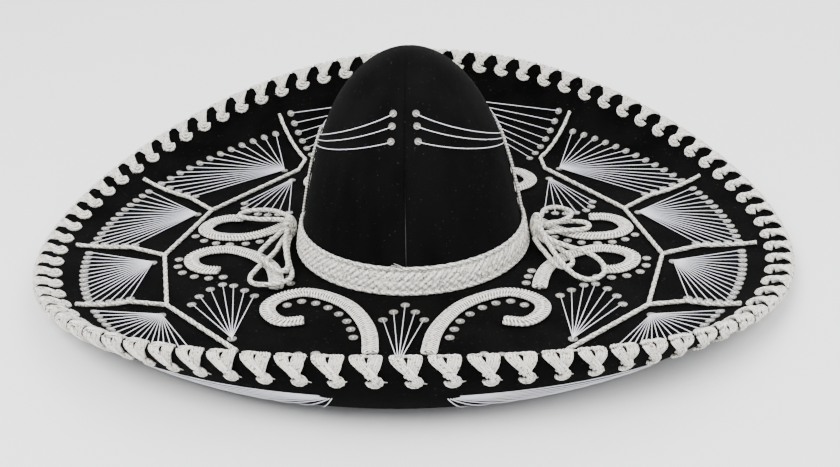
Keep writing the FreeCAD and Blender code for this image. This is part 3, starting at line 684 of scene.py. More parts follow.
# ------------------------------------------------------------------ brim and crown shells
@dataclass
class BrimShell:
    """Velvet covers of the brim and the tape that closes its edge."""

    maker: Maker
    brim: BrimForm
    crown: CrownForm
    velvet: float = 1 * MM

    def cover(self, angle: float, share: float, hole: Flat, lift: float) -> Vector:
        """Return a point of a cover, from the hole in the middle out to the rim."""
        flat = 0.4
        if share >= flat:
            return self.brim.lip(angle, (share - flat) / (1 - flat) * 0.994, lift)
        inner = 1 / math.hypot(math.sin(angle) / hole[0], math.cos(angle) / hole[1])
        start = self.brim.curl(angle)[0]
        return polar(angle, inner + (start - inner) * share / flat, lift)

    def build(self) -> None:
        """Make the two covers and the edge tape, and dress the felt and the wire."""
        finish = self.maker.finishes
        collar = (self.crown.half_width + 0.2 * MM, self.crown.half_depth + 0.2 * MM)
        opening = (self.crown.half_width - 5.6 * MM, self.crown.half_depth - 5.6 * MM)
        for name, node, hole, lift, sign in (
                ("brim_cover_top", "brim_top_velvet", collar, self.brim.thick, 1),
                ("brim_cover_under", "brim_under_velvet", opening, 0.0, -1)):
            bm = bmesh.new()
            sheet(bm, 240, 44, lambda u, v: self.cover(TAU * u, v, hole, lift))
            self.maker.finish(name, bm, finish.brim_velvet, [node], "brim_velvet", self.velvet,
                              lambda point, sign=sign: self.brim.up_from(point) * sign)
        bm = bmesh.new()
        bend = self.brim.thick / 2 * math.pi / 2
        sheet(bm, 240, 10, lambda u, v: self.brim.wrap(TAU * u, 0.0, (v - 0.5) * 2.6 * bend, 0.05 * MM))
        self.maker.finish("brim_edge_tape", bm, finish.brim_velvet, ["rim_edge_tape"],
                          "brim_velvet", 0.6 * MM,
                          lambda point: point - Vector((0, 0, 0.05)))
        for node, material in (("brim_core", finish.felt), ("crown_shell", finish.felt),
                               ("rim_wire", finish.steel)):
            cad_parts[node].data.materials.clear()
            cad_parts[node].data.materials.append(material)


@dataclass
class CrownShell:
    """Velvet halves of the crown with their seams, its lining and the sweatband."""

    maker: Maker
    crown: CrownForm
    seam_depth: float = 1.1 * MM
    seam_width: float = 1.6 * MM

    def cover(self, side: Side, around: float, rise: float) -> Vector:
        """Return a point of one half: around runs from the back seam to the front one."""
        margin = 0.0012
        angle = side.value * (margin + (math.pi - 2 * margin) * around)
        height = self.crown.foot + (self.crown.top - self.crown.foot) * math.sin(
            math.pi / 2 * min(rise, 0.9995))
        share = self.crown.share(height)
        off_seam = min(around, 1 - around) * math.pi * self.crown.half_width * share
        dip = -self.seam_depth * math.exp(-(off_seam / self.seam_width) ** 2)
        sag = 0.35 * MM * math.sin(3 * angle + 20 * height) * math.sin(38 * height)
        return self.crown.surface(angle, height, (dip + sag) * min(1.0, share * 3))

    def inside(self, low: float, high: float, inset: float) -> Callable[[float, float], Vector]:
        """Return the placing of a sheet inside the crown, between two heights."""
        def place(u: float, v: float) -> Vector:
            """Return a point of the sheet."""
            height = low + (high - low) * math.sin(math.pi / 2 * min(v, 0.9995))
            rise = (height - self.crown.foot) / (self.crown.top - inset - self.crown.foot)
            share = self.crown.share(self.crown.foot + rise * (self.crown.top - self.crown.foot))
            return Vector((max(self.crown.half_width * share - inset, 0.0) * math.sin(TAU * u),
                           max(self.crown.half_depth * share - inset, 0.0) * math.cos(TAU * u),
                           height))
        return place

    def build(self) -> None:
        """Make the crown's covers, lining and sweatband."""
        finish = self.maker.finishes
        for side in Side:
            bm = bmesh.new()
            sheet(bm, 130, 60, lambda u, v: self.cover(side, u, v))
            self.maker.finish("crown_cover_" + side.label, bm, finish.crown_velvet,
                              ["crown_velvet_" + side.label], "crown_velvet", 1 * MM,
                              self.crown.outward)
        lining_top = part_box("crown_lining")[1].z
        bm = bmesh.new()
        sheet(bm, 96, 40, self.inside(self.crown.foot, lining_top, 4.0 * MM))
        self.maker.finish("crown_satin", bm, finish.satin, ["crown_lining"], "satin_lining",
                          0.5 * MM, lambda point: -self.crown.outward(point))
        low, high = (corner.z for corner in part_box("sweatband"))
        bm = bmesh.new()
        sheet(bm, 96, 8, lambda u, v: self.crown.surface(TAU * u, low + (high - low) * v, -5.0 * MM))
        piece = self.maker.finish("crown_sweatband", bm, finish.leather, ["sweatband"],
                                  "sweatband_leather", 1.4 * MM,
                                  lambda point: -self.crown.outward(point))
        rolled = piece.modifiers.new("rolled_edge", "BEVEL")
        rolled.width, rolled.segments = 0.4 * MM, 2


# ------------------------------------------------------------------ hat band
@dataclass
class HatBand:
    """Herringbone braid round the crown, its edge cords, the knots and the frayed end."""

    maker: Maker
    crown: CrownForm
    low: float = 7.5 * MM
    high: float = 26 * MM
    thick: float = 4.5 * MM
    cord: float = 3.6 * MM
    plait: float = 8.5 * MM

    def braid_point(self, turn: float, share: float, length: float) -> Vector:
        """Return a point of the braid's face, raised where a strand passes."""
        off_middle = abs(share - 0.5) * 2
        bulge = math.cos(math.pi / 2 * off_middle * 0.86)
        if off_middle > 0.78:
            strand = abs(math.sin(math.pi * (off_middle - 0.78) / 0.11)) ** 0.6
        else:
            phase = turn * round(length / self.plait) + 1.05 * off_middle
            leaf = math.sin(math.pi * (0.08 + 0.9 * off_middle / 0.78)) ** 0.35
            strand = abs(math.sin(math.pi * phase)) ** 0.6 * leaf
        lift = self.thick * (0.26 + 0.4 * bulge + 0.34 * strand)
        height = self.low + (self.high - self.low) * share
        return self.crown.surface(TAU * turn, height, lift)

    def ring(self, height: float, lift: float, step: float) -> list[Vector]:
        """Return a closed path round the crown."""
        fine = [self.crown.surface(TAU * index / 720, height, lift) for index in range(721)]
        return even_path(fine, step)

    def knot(self, side: Side) -> None:
        """Wrap cord round the gathered end of the band."""
        low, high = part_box("band_knot_" + side.label)
        middle, half = (low + high) / 2, (high - low) / 2
        bm = bmesh.new()
        wraps = 6
        for index in range(wraps):
            across = (index + 0.5) / wraps * 2 - 1
            size = math.sqrt(1 - (across * 0.86) ** 2)
            lean = 1.4 * MM * side.value
            path = []
            for step in range(29):
                turn = TAU * step / 28
                path.append(middle + Vector((half.x * 0.74 * size * math.cos(turn),
                                             half.y * 0.82 * across + lean * math.sin(turn),
                                             half.z * 0.84 * size * math.sin(turn))))
            sweep(bm, path, 8, round_section(1.75 * MM, 0.12, 5 * MM, 3), Vector((0, 1, 0.01)), True)
        core = [middle + Vector((0, half.y * share, 0)) for share in (-0.8, -0.4, 0.0, 0.4, 0.8)]
        sweep(bm, core, 12, lambda turn, run, share: (
            half.x * 0.66 * math.cos(TAU * turn) * (1 - 0.5 * abs(share * 2 - 1) ** 3),
            half.z * 0.72 * math.sin(TAU * turn) * (1 - 0.5 * abs(share * 2 - 1) ** 3)))
        self.maker.finish("knot_wraps_" + side.label, bm, self.maker.finishes.cord,
                          ["band_knot_" + side.label], "ivory_braid")

    def build(self) -> None:
        """Make the braid, both edge cords, the knots and the frayed end."""
        finish = self.maker.finishes
        length = sum((after - before).length for before, after in zip(
            self.ring(self.low, 2 * MM, 10 * MM), self.ring(self.low, 2 * MM, 10 * MM)[1:]))
        bm = bmesh.new()
        sheet(bm, 900, 32, lambda u, v: self.braid_point(u, v, length),
              lambda u, v: (u * length, v))
        self.maker.finish("band_braid", bm, finish.braid, ["hatband_braid"], "ivory_braid",
                          1.6 * MM, self.crown.outward)
        for name, height in (("lower", self.low), ("upper", self.high)):
            bm = bmesh.new()
            sweep(bm, self.ring(height, self.cord / 2 + 0.6 * MM, 0.9 * MM), 10,
                  round_section(self.cord / 2, 0.2, 9 * MM, 3), loop=True)
            self.maker.finish("band_cord_" + name, bm, finish.cord,
                              ["hatband_%s_cord" % name], "ivory_cord")
        for side in Side:
            self.knot(side)
        bm = bmesh.new()
        for across, reach, rise in ((-3, 9, 3.0), (-2.2, 7, 4.4), (-1.5, 10, 1.8), (-0.6, 6, 3.4)):
            root = self.crown.surface(math.pi + 0.02, self.high + 1 * MM, 3 * MM)
            path = smooth_path([root, root + Vector((-0.4 * reach, -0.4, 0.5 * rise)) * MM,
                                root + Vector((-reach, across * 0.4, rise)) * MM], 1.5 * MM)
            sweep(bm, path, 5, round_section(0.55 * MM, taper=0.7))
        self.maker.finish("band_frayed_end", bm, finish.stitch, [], "ivory_yarn")


# ------------------------------------------------------------------ stitches over the rim
@dataclass
class RimStitches:
    """Crossed yarn stitches over the edge, ending in a round knot on each face."""

    maker: Maker
    brim: BrimForm
    count: int = 80
    strands: int = 5
    strand: float = 1.05 * MM
    # The leg on top and the leg under it: distance along the rim, then over the edge, then height.
    over_leg: tuple[tuple[float, float, float], ...] = (
        (-6.2, 0, 0.2), (-5.4, 3.4, 0.3), (-3.2, 6.6, 0.8), (-0.8, 10, 1.5), (1.8, 13.2, 1.8),
        (3.9, 16.4, 1.3))
    under_leg: tuple[tuple[float, float, float], ...] = (
        (5.2, 0, 0.2), (4.9, 4.0, 0.3), (4.0, 7.6, 0.3), (2.8, 11, 0.2), (1.8, 14, 0.0))
    knot_middle: Flat = (4.2, 18.2)
    inner_loose: float = 1.28

    def leg(self, bm: bmesh.types.BMesh, angle: float, marks: Sequence[tuple[float, float, float]],
            chance: random.Random) -> None:
        """Lay one leg from the outer face over the edge to the inner one."""
        course = [(s, -over, height) for s, over, height in reversed(marks[1:])] + list(marks)
        for index in range(self.strands):
            place = index - (self.strands - 1) / 2
            drift = [chance.uniform(-0.22, 0.22) for _ in course]
            path = []
            for (s, over, height), wander in zip(course, drift):
                pinch = 1 - 0.3 * min(abs(over) / 16, 1.0)
                closer = 1 - 0.4 * min(max(over, 0.0) / 5, 1.0)
                path.append(self.brim.wrap(
                    angle, (s * closer + place * 1.8 * pinch + wander) * MM, over * MM,
                    (height + 0.75 + 0.22 * (index % 2)) * MM))
            sweep(bm, smooth_path(path, 1.75 * MM), 5,
                  round_section(self.strand * chance.uniform(0.92, 1.08)), self.brim.up_from)

    def knot(self, bm: bmesh.types.BMesh, angle: float, face: int, chance: random.Random) -> None:
        """Turn the yarn round into a knot with a short tail, looser on the inner face."""
        s, over = self.knot_middle
        loose = self.inner_loose if face > 0 else 1.0
        s, over = s - (loose - 1) * 8, over - (loose - 1) * 5
        for ring, (reach, height) in enumerate(((1.3, 2.3), (3.0, 1.8), (4.5, 1.0))):
            reach *= loose
            first = -2.5 + 0.25 * ring
            path = []
            for step in range(9):
                turn = first + 5.1 * step / 8
                path.append(self.brim.wrap(angle, (s + reach * math.cos(turn) * 1.06) * MM,
                                           face * (over + reach * math.sin(turn) * 0.92) * MM,
                                           height * MM))
            sweep(bm, path, 5, round_section(1.1 * loose * MM), self.brim.up_from)
        tail = [(s + 3.8, over - 0.5, 1.0), (s + 5.8, over + 0.2 + chance.uniform(-0.6, 0.8), 0.7),
                (s + 7.5 + chance.uniform(-0.6, 0.6), over + chance.uniform(-0.5, 1.6), 0.6)]
        path = [self.brim.wrap(angle, a * MM, face * b * MM, h * MM) for a, b, h in tail]
        sweep(bm, path, 4, round_section(0.75 * MM, taper=0.6), self.brim.up_from)

    def build(self) -> None:
        """Make the stitches of each quarter of the rim."""
        chance = random.Random(31)
        quarters = ("back_right", "front_right", "front_left", "back_left")
        meshes = {quarter: bmesh.new() for quarter in quarters}
        for angle in self.brim.rim_stations(self.count):
            bm = meshes[quarters[int(angle // (math.pi / 2)) % 4]]
            self.leg(bm, angle, self.under_leg, chance)
            self.leg(bm, angle, self.over_leg, chance)
            for face in (1, -1):
                self.knot(bm, angle, face, chance)
        for quarter, bm in meshes.items():
            self.maker.finish("yarn_stitches_" + quarter, bm, self.maker.finishes.stitch,
                              ["rim_stitches_" + quarter], "ivory_yarn")


# ------------------------------------------------------------------ trim on the brim
@dataclass
class BrimTrim:
    """Cords, thread fans, sequins and galloon scrolls sewn to the brim."""

    maker: Maker
    brim: BrimForm
    crown: CrownForm
    cord: float = 3.6 * MM
    thread: float = 0.38 * MM
    thread_lift: float = 1.7 * MM
    scroll_width: float = 12 * MM
    scroll_height: float = 4.6 * MM
    corners: tuple[Flat, ...] = ((37, 193), (72, 189), (99.5, 203), (124, 215), (149, 220))
    divider_sweep: float = 5.0
    divider_climb: float = 0.70
    fan_climb: float = 0.52
    front_scroll: tuple[Flat, ...] = ((20, -193), (23, -165), (31, -141), (43, -121), (60, -107),
                                      (77, -101), (92, -107), (101, -120), (99, -135),
                                      (88, -147), (72, -145))
    side_scroll: tuple[Flat, ...] = ((100, -93), (103, -75), (109, -57), (121, -41), (135, -30),
                                     (150, -24), (166, -27), (176, -38), (173, -52),
                                     (163, -61), (150, -63))
    upper_scroll: tuple[Flat, ...] = ((106, 30), (120, 13), (136, 2), (153, 0), (169, 5), (177, 17),
                                      (172, 32), (161, 39), (148, 39))
    front_row: tuple[Flat, ...] = ((34, -168), (37, -156), (41, -144), (48, -133), (57, -123),
                                   (67, -116), (78, -113), (88, -119))
    other_rows: tuple[Flat, ...] = (
        (117, 1), (127, -6), (138, -10), (151, -11.5), (163, -9), (174, -4), (183, 5),
        (187, -40), (185, -53), (179, -64), (168, -71), (156, -74), (145, -72),
        (90.5, -83), (92.5, -72), (95.5, -62))
    front_corner_fan: tuple[Flat, ...] = ((120, -170), (160, -118), (157, -105), (151, -93),
                                          (143, -85), (134, -87), (124, -95), (115, -104))
    rear_corner_fan: tuple[Flat, ...] = ((119, 130), (154, 75), (152, 64), (147, 56), (138, 51),
                                         (129, 49), (120, 50), (111, 54))
    front_fan: tuple[Flat, ...] = ((0, -205), (-15, -142), (-8, -130), (0, -119), (8, -130),
                                   (15, -142))
    front_panel_row: tuple[Flat, ...] = ((106, -196), (94, -194), (82, -193), (70, -192),
                                         (58, -191))
    underside_apex: Flat = (7, 0.68)
    underside_fan: tuple[Flat, ...] = ((36, 0.70), (37, 0.62), (37, 0.54), (36, 0.46), (34, 0.38),
                                       (31, 0.31), (27, 0.25), (22, 0.20), (16, 0.18), (11, 0.20))

    def corner(self, index: int, side: Side, lift: float) -> Vector:
        """Return a corner of the border."""
        angle, radius = self.corners[index]
        return polar(side.value * math.radians(angle), radius * MM, lift)

    def divider_angle(self, index: int, side: Side) -> float:
        """Return the angle at which a divider ends on the lip."""
        return side.value * math.radians(self.corners[index][0] - self.divider_sweep)

    def border(self, side: Side) -> None:
        """Lay the border cord in one run with its corners."""
        lift = self.brim.thick + self.cord / 2
        marks = [self.corner(index, side, lift) for index in range(len(self.corners))]
        path = even_path(marks, 1.1 * MM)
        rounded = [path[0]] + [(a + b * 2 + c) / 4 for a, b, c in zip(path, path[1:], path[2:])]
        bm = bmesh.new()
        sweep(bm, rounded + [path[-1]], 9, round_section(self.cord / 2, 0.16, 12 * MM, 2))
        self.finish_cord("border_" + side.label, bm, "border_cord_" + side.label)

    def dividers(self, side: Side) -> None:
        """Lay the cords that run from the corners up the lip."""
        bm = bmesh.new()
        lift = self.brim.thick + self.cord / 2
        for index in range(len(self.corners)):
            angle = self.divider_angle(index, side)
            path = [self.corner(index, side, lift)]
            path += [self.brim.lip(angle, self.divider_climb * share, lift)
                     for share in (0.12, 0.28, 0.46, 0.64, 0.82, 1.0)]
            sweep(bm, even_path(path, 1.1 * MM), 9, round_section(self.cord / 2, 0.16, 12 * MM, 2),
                  self.brim.up_from)
        self.finish_cord("dividers_" + side.label, bm, "divider_cords_" + side.label)

    def finish_cord(self, name: str, bm: bmesh.types.BMesh, node: str) -> None:
        """Finish a piece of sewn-down cord."""
        self.maker.finish(name, bm, self.maker.finishes.cord, [node], "ivory_cord")

    def add_thread(self, bm: bmesh.types.BMesh, start: Vector, end: Vector) -> None:
        """Stretch one thread between two points."""
        sweep(bm, [start, start.lerp(end, 0.5), end], 5, round_section(self.thread),
              self.brim.up_from)

    def add_sequin(self, bm: bmesh.types.BMesh, place: Vector, normal: Vector,
                   size: float = 3.5 * MM) -> None:
        """Set one cup sequin with a bead in its middle on the velvet."""
        turn = Vector((0, 0, 1)).rotation_difference(normal).to_matrix()
        marks = ((0.02, 1.5), (0.14, 1.45), (0.23, 1.0), (0.26, 0.45), (0.62, 0.5), (0.92, 1.0),
                 (1.0, 1.15), (1.0, 0.2))
        sheet(bm, 14, len(marks) - 1,
              lambda u, v: place + turn @ Vector((
                  marks[round(v * (len(marks) - 1))][0] * size * math.cos(TAU * u),
                  marks[round(v * (len(marks) - 1))][0] * size * math.sin(TAU * u),
                  marks[round(v * (len(marks) - 1))][1] * MM)),
              lambda u, v: (marks[round(v * (len(marks) - 1))][0], u))

    def on_lip(self, angle: float, climb: float, lift: float = 0.0) -> Vector:
        """Return a point over the velvet of the lip."""
        return self.brim.lip(angle, climb, self.brim.thick + lift)

    def on_flat(self, place: Flat, side: Side, lift: float = 0.0) -> Vector:
        """Return a point over the flat velvet."""
        return Vector((side.value * place[0] * MM, place[1] * MM, self.brim.thick + lift))

    def lip_fan(self, threads: bmesh.types.BMesh, sequins: bmesh.types.BMesh, apex: Vector,
                stations: Sequence[Flat]) -> None:
        """Stretch threads from an apex to sequins on the lip."""
        for angle, climb in stations:
            self.add_thread(threads, apex, self.on_lip(angle, climb, self.thread_lift))
            self.add_sequin(sequins, self.on_lip(angle, climb), self.brim.normal(angle, climb))

    def panels(self, side: Side) -> None:
        """Make the four fans between the dividers of one side."""
        threads, sequins = bmesh.new(), bmesh.new()
        for index in range(len(self.corners) - 1):
            start = self.corners[index][0] - self.divider_sweep + 2.5
            end = self.corners[index + 1][0] - self.divider_sweep - 1.5
            marks = [(start + (end - start) * step / 11, self.fan_climb) for step in range(12)]
            marks += [(end, self.fan_climb * share) for share in (0.78, 0.56, 0.34, 0.12)]
            angle, radius = self.corners[index]
            apex = polar(side.value * math.radians(angle + 3), (radius + 9) * MM,
                         self.brim.thick + self.thread_lift)
            self.lip_fan(threads, sequins, apex,
                         [(side.value * math.radians(place), climb) for place, climb in marks])
            self.add_sequin(sequins, apex - Vector((0, 0, self.thread_lift)), Vector((0, 0, 1)))
        self.finish_fan("panel", "_" + side.label, threads, sequins)

    def finish_fan(self, name: str, ending: str, threads: bmesh.types.BMesh,
                   sequins: bmesh.types.BMesh) -> None:
        """Finish the threads and the sequins of some fans."""
        self.maker.finish("%s_fan_lines%s" % (name, ending), threads, self.maker.finishes.thread,
                          ["%s_threads%s" % (name, ending)], "silver_thread")
        self.maker.finish("%s_fan_cups%s" % (name, ending), sequins, self.maker.finishes.sequin,
                          ["%s_sequins%s" % (name, ending)], "sequin")

    def end_panels(self) -> None:
        """Make the fans of the back and the front panel."""
        threads, sequins = bmesh.new(), bmesh.new()
        back, front = (self.on_lip(middle, 0.66, self.thread_lift) for middle in (0.0, math.pi))
        for middle in (0.0, math.pi):
            self.add_sequin(sequins, self.on_lip(middle, 0.66), self.brim.normal(middle, 0.66))
        for side in Side:
            angle = self.divider_angle(0, side) - side.value * math.radians(2.5)
            self.lip_fan(threads, sequins, back, [(angle, self.fan_climb * share)
                                                  for share in (1.3, 1.1, 0.9, 0.7, 0.5, 0.3, 0.1)])
            for mark in self.front_panel_row:
                self.add_thread(threads, front, self.on_flat(mark, side, self.thread_lift))
                self.add_sequin(sequins, self.on_flat(mark, side), Vector((0, 0, 1)))
        self.finish_fan("end_panel", "", threads, sequins)

    def small_fan(self, threads: bmesh.types.BMesh, sequins: bmesh.types.BMesh,
                  design: Sequence[Flat], side: Side) -> None:
        """Stretch a small fan inside the border, from its first point to the others."""
        apex = self.on_flat(design[0], side, self.thread_lift)
        for mark in design:
            self.add_sequin(sequins, self.on_flat(mark, side), Vector((0, 0, 1)))
            if mark is not design[0]:
                self.add_thread(threads, apex, self.on_flat(mark, side, self.thread_lift))

    def small_fans(self) -> None:
        """Make every small fan inside the border."""
        for side in Side:
            threads, sequins = bmesh.new(), bmesh.new()
            for design in (self.front_corner_fan, self.rear_corner_fan):
                self.small_fan(threads, sequins, design, side)
            self.finish_fan("corner_fan", "_" + side.label, threads, sequins)
        threads, sequins = bmesh.new(), bmesh.new()
        self.small_fan(threads, sequins, self.front_fan, Side.RIGHT)
        self.finish_fan("front_fan", "", threads, sequins)

    def galloon_section(self, width: float, height: float) -> Section:
        """Return a ribbed oval section whose ribs lean in from both edges."""
        def section(turn: float, run: float, share: float) -> Flat:
            """Return a point of the section, raised on the ribs."""
            across, lift = math.cos(TAU * turn), math.sin(TAU * turn)
            rib = math.cos(TAU * (run / GALLOON_RIB + GALLOON_LEAN * abs(across)))
            groove = math.exp(-(across / 0.12) ** 2)
            grow = 1 + (0.17 * (rib - 1) / 2 if lift > -0.2 else 0.0)
            end = min(1.0, 0.8 + 30 * min(share, 1 - share))
            return (width / 2 * (across + 0.03 * across * (rib - 1)) * end,
                    height / 2 * (lift * grow - 0.16 * groove * (lift > 0)) * end)
        return section

    def scrolls(self, side: Side) -> None:
        """Make the four scrolls of one side and the sequins beside them."""
        rear = tuple((x, -y) for x, y in self.front_scroll)
        for name, design in (("front", self.front_scroll), ("side", self.side_scroll),
                             ("upper", self.upper_scroll), ("rear", rear)):
            bm = bmesh.new()
            path = smooth_path([self.on_flat(mark, side, self.scroll_height / 2)
                                for mark in design], 0.5 * MM)
            sweep(bm, path, 18, self.galloon_section(self.scroll_width, self.scroll_height))
            self.maker.finish("%s_galloon_%s" % (name, side.label), bm,
                              self.maker.finishes.galloon,
                              ["%s_scroll_%s" % (name, side.label)], "ivory_galloon")
        bm = bmesh.new()
        rear_row = tuple((x, -y) for x, y in self.front_row)
        for mark in self.front_row + self.other_rows + rear_row:
            self.add_sequin(bm, self.on_flat(mark, side), Vector((0, 0, 1)))
        self.maker.finish("scroll_cups_" + side.label, bm, self.maker.finishes.sequin,
                          ["scroll_sequins_" + side.label], "sequin")

    def underside(self, side: Side) -> None:
        """Lay the dense fan of threads under the front of the brim."""
        bm = bmesh.new()
        marks = self.underside_fan
        for end_angle, end_climb in marks:
            path = []
            for step in range(9):
                share = 0.06 + 0.94 * step / 8
                angle = self.underside_apex[0] + (end_angle - self.underside_apex[0]) * share
                climb = self.underside_apex[1] + (end_climb - self.underside_apex[1]) * share
                path.append(self.brim.lip(math.pi - side.value * math.radians(angle), climb,
                                          -self.thread - 0.2 * MM))
            sweep(bm, path, 5, round_section(self.thread), self.brim.up_from)
        self.maker.finish("underside_fan_" + side.label, bm, self.maker.finishes.thread,
                          ["underside_threads_" + side.label], "silver_thread")

    def crown_trim(self, side: Side) -> None:
        """Make the galloon up one side of the crown, and that side's threads and sequins."""
        bm = bmesh.new()
        path = smooth_path([self.crown.surface(side.value * math.pi / 2, height, 1.9 * MM)
                            for height in (104 * MM, 92 * MM, 72 * MM, 50 * MM, 31 * MM)], 0.5 * MM)
        ribbed = self.galloon_section(9 * MM, 2.8 * MM)

        def tapered(turn: float, run: float, share: float) -> Flat:
            """Return a point of the ribbed section, narrowed towards the top."""
            across, lift = ribbed(turn, run, share)
            return across * (0.3 + 0.7 * min(1.0, share * 2.2)), lift
        sweep(bm, path, 14, tapered, Vector((side.value, 0, 0.3)))
        self.maker.finish("crown_trim_" + side.label, bm, self.maker.finishes.galloon,
                          ["crown_galloon_" + side.label], "ivory_galloon")
        threads, sequins = bmesh.new(), bmesh.new()
        for facing, turn in ((0.0, side.value), (math.pi, -side.value)):
            for low, high in ((92, 116), (96, 126), (100, 134)):
                path = [self.crown.surface(facing + turn * math.radians(85 - 75.5 * step / 12),
                                           (low + (high - low) * step / 12) * MM, 1.7 * MM)
                        for step in range(13)]
                sweep(threads, path, 5, round_section(self.thread), self.crown.outward)
                angle = facing + turn * math.radians(9)
                self.add_sequin(sequins, self.crown.surface(angle, high * MM, 0.1 * MM),
                                Vector((math.sin(angle), math.cos(angle), 0.55)), 2.8 * MM)
        self.finish_fan("crown", "_" + side.label, threads, sequins)

    def build(self) -> None:
        """Make all the trim."""
        for side in Side:
            self.border(side)
            self.dividers(side)
            self.panels(side)
            self.scrolls(side)
            self.underside(side)
            self.crown_trim(side)
        self.end_panels()
        self.small_fans()


# ------------------------------------------------------------------ free loops of cord
# Control points of each loop in millimetres: it leaves a knot, lies on the brim and comes back.
BOW_ROUTES: dict[str, list[tuple[float, float, float]]] = {
    "upper_bow_left": [(-107, 6, 20), (-115, 15, 17), (-128, 21, 14), (-142, 26, 13),
        (-152, 33, 12), (-149, 42, 12), (-137, 44, 13), (-125, 40, 14.5), (-115, 30, 17),
        (-107, 18, 19), (-103, 9, 22)],
    "middle_bow_left": [(-106, -10, 18), (-112, -22, 16.5), (-119, -36, 14), (-121, -51, 14.5),
        (-114, -64, 17), (-106, -73, 15), (-100, -77, 13), (-95, -74, 12.5), (-94, -66, 13),
        (-97, -54, 14), (-100, -40, 16), (-102.5, -25, 18), (-102, -12, 20)],
    "lower_bow_left": [(-105.5, -10, 12), (-107, -24, 12.5), (-108, -40, 12.5), (-113, -54, 12.5),
        (-118, -69, 12.5), (-122, -84, 12), (-119, -95, 12), (-108, -99, 12.4), (-97, -96, 12.4),
        (-90, -87, 11), (-90, -73, 9), (-95, -56, 9), (-99, -39, 10.5), (-101, -24, 11.5),
        (-100.5, -11, 12.5)],
    "upper_bow_right": [(106, 8, 22), (107, 20, 20), (110, 34, 17), (118, 43, 15), (127, 42, 14),
        (133, 32, 15), (131, 19, 16.5), (123, 9, 17), (114, 2, 17.5), (108, -4, 18.5)],
    "middle_bow_right": [(107, -7, 13), (116, -3, 12.5), (127, 0, 12.2), (139, 1, 12.2),
        (147, 8, 12.2), (143, 17, 12.2), (132, 19, 12.2), (121, 17, 12.5), (112, 12, 14),
        (107, 5, 16)],
    "lower_bow_right": [(105, -10, 18), (107, -25, 17), (111, -42, 16.5), (116, -62, 16.3),
        (123, -80, 14), (134, -91, 12), (146, -87, 12), (152, -73, 12.5), (148, -57, 13.5),
        (138, -46, 15), (125, -40, 16.5), (113, -32, 17.5), (105, -21, 19), (102.5, -11, 21)],
    "inner_bow_right": [(102, -11, 12), (108, -22, 12), (118, -34, 12), (126, -47, 12),
        (128, -60, 12), (124, -67, 11.8), (117, -68, 11.8), (112, -60, 12), (109, -49, 12),
        (106, -38, 11.5), (102, -26, 11.5), (99.5, -14, 12)],
}


@dataclass
class Bows:
    """Limp loops of cord beside the two knots."""

    maker: Maker
    size: float = 4 * MM

    def route(self, marks: Sequence[tuple[float, float, float]]) -> list[Vector]:
        """Return the points of the smooth line that a loop follows."""
        curve = bpy.data.curves.new("loop_line", "CURVE")
        curve.dimensions = "3D"
        spline = curve.splines.new("NURBS")
        spline.points.add(len(marks) - 1)
        for point, mark in zip(spline.points, marks):
            point.co = (*(part * MM for part in mark), 1.0)
        spline.order_u = 3
        spline.use_endpoint_u = True
        spline.resolution_u = 12
        line = bpy.data.objects.new("loop_line", curve)
        bpy.context.collection.objects.link(line)
        bpy.context.view_layer.update()
        mesh = bpy.data.meshes.new_from_object(line)
        points = [vert.co.copy() for vert in mesh.vertices]
        bpy.data.objects.remove(line)
        bpy.data.curves.remove(curve)
        bpy.data.meshes.remove(mesh)
        return points

    def build(self) -> None:
        """Make every loop."""
        for name, marks in BOW_ROUTES.items():
            path = self.route(marks)
            bm = bmesh.new()
            sweep(bm, path, 10, round_section(self.size / 2, 0.1, 14 * MM, 3))
            piece = self.maker.finish("loop_" + name, bm, self.maker.finishes.cord, [name],
                                      "ivory_cord")
            length = sum((after - before).length for before, after in zip(path, path[1:]))


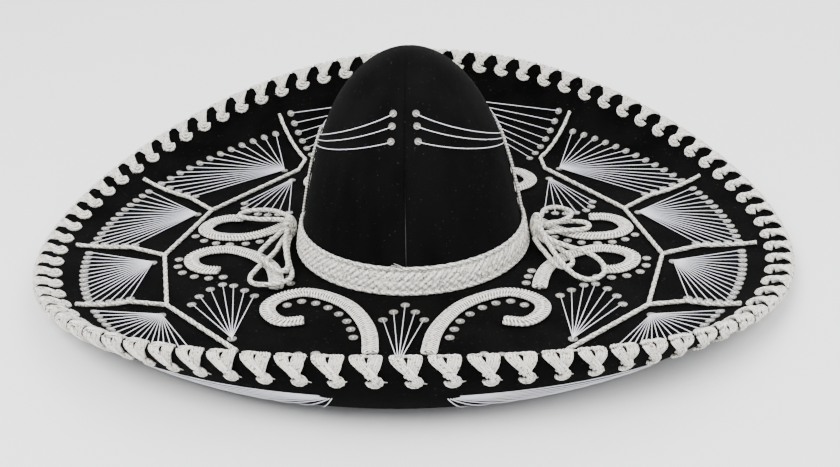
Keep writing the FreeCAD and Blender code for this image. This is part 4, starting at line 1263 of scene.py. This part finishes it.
# ------------------------------------------------------------------ studio
@dataclass
class Studio:
    """Camera, pale floor and soft lights."""

    place: tuple[float, float, float] = (0.0566, -0.9235, 0.4291)
    yaw: float = -0.05496
    pitch: float = 0.42549
    roll: float = -0.02664
    lens: float = 52.645

    def camera(self) -> None:
        """Set the camera a little above the brim, in front of the hat."""
        data = bpy.data.cameras.new("view")
        data.lens, data.sensor_width = self.lens, 36.0
        data.clip_start = 0.02
        camera = bpy.data.objects.new("view", data)
        forward = Vector((math.sin(self.yaw) * math.cos(self.pitch),
                          math.cos(self.yaw) * math.cos(self.pitch), -math.sin(self.pitch)))
        level = Vector((math.cos(self.yaw), -math.sin(self.yaw), 0))
        upward = level.cross(forward)
        right = level * math.cos(self.roll) + upward * math.sin(self.roll)
        above = upward * math.cos(self.roll) - level * math.sin(self.roll)
        camera.matrix_world = Matrix.Translation(self.place) @ Matrix(
            (right, above, -forward)).transposed().to_4x4()
        bpy.context.collection.objects.link(camera)
        bpy.context.scene.camera = camera

    def floor(self) -> None:
        """Lay the pale floor."""
        bm = bmesh.new()
        bmesh.ops.create_grid(bm, x_segments=2, y_segments=2, size=8.0)
        mesh = bpy.data.meshes.new("floor")
        bm.to_mesh(mesh)
        bm.free()
        graph = Graph("floor_paper")
        grain = graph.noise(0.004, 2.0)
        mesh.materials.append(graph.finish(grain, 0.00005, Roughness=0.9, Base_Color=graph.blend(
            grain, (0.87, 0.87, 0.865), (0.9, 0.9, 0.895))))
        floor = bpy.data.objects.new("floor", mesh)
        bpy.context.collection.objects.link(floor)

    def light(self, name: str, place: tuple[float, float, float], size: float, power: float,
              colour: Colour = (1.0, 1.0, 1.0)) -> None:
        """Hang one square soft light that faces the hat."""
        data = bpy.data.lights.new(name, "AREA")
        data.size, data.energy, data.color = size, power, colour
        lamp = bpy.data.objects.new(name, data)
        lamp.location = place
        lamp.rotation_euler = (Vector((0, 0, 0.05)) - Vector(place)).to_track_quat("-Z", "Y").to_euler()
        bpy.context.collection.objects.link(lamp)

    def build(self) -> None:
        """Set up the camera, the floor and the lights."""
        self.camera()
        self.floor()
        self.light("key", (-0.9, -1.1, 1.8), 1.4, 78)
        self.light("fill", (1.4, -0.7, 1.3), 1.6, 34)
        self.light("back", (0.2, 1.6, 1.5), 1.6, 30)
        world = bpy.data.worlds.new("studio")
        world.use_nodes = True
        world.node_tree.nodes["Background"].inputs["Color"].default_value = (0.95, 0.96, 1.0, 1.0)
        world.node_tree.nodes["Background"].inputs["Strength"].default_value = 1.4
        bpy.context.scene.world = world


def main() -> None:
    """Build the whole hat and its studio."""
    logging.basicConfig(level=logging.INFO, format="%(name)s: %(message)s")
    Studio().build()
    maker = Maker(Finishes())
    brim, crown = BrimForm(), CrownForm()
    Bows(maker).build()
    BrimShell(maker, brim, crown).build()
    CrownShell(maker, crown).build()
    HatBand(maker, crown).build()
    RimStitches(maker, brim).build()
    BrimTrim(maker, brim, crown).build()


if __name__ == "__main__":
    main()
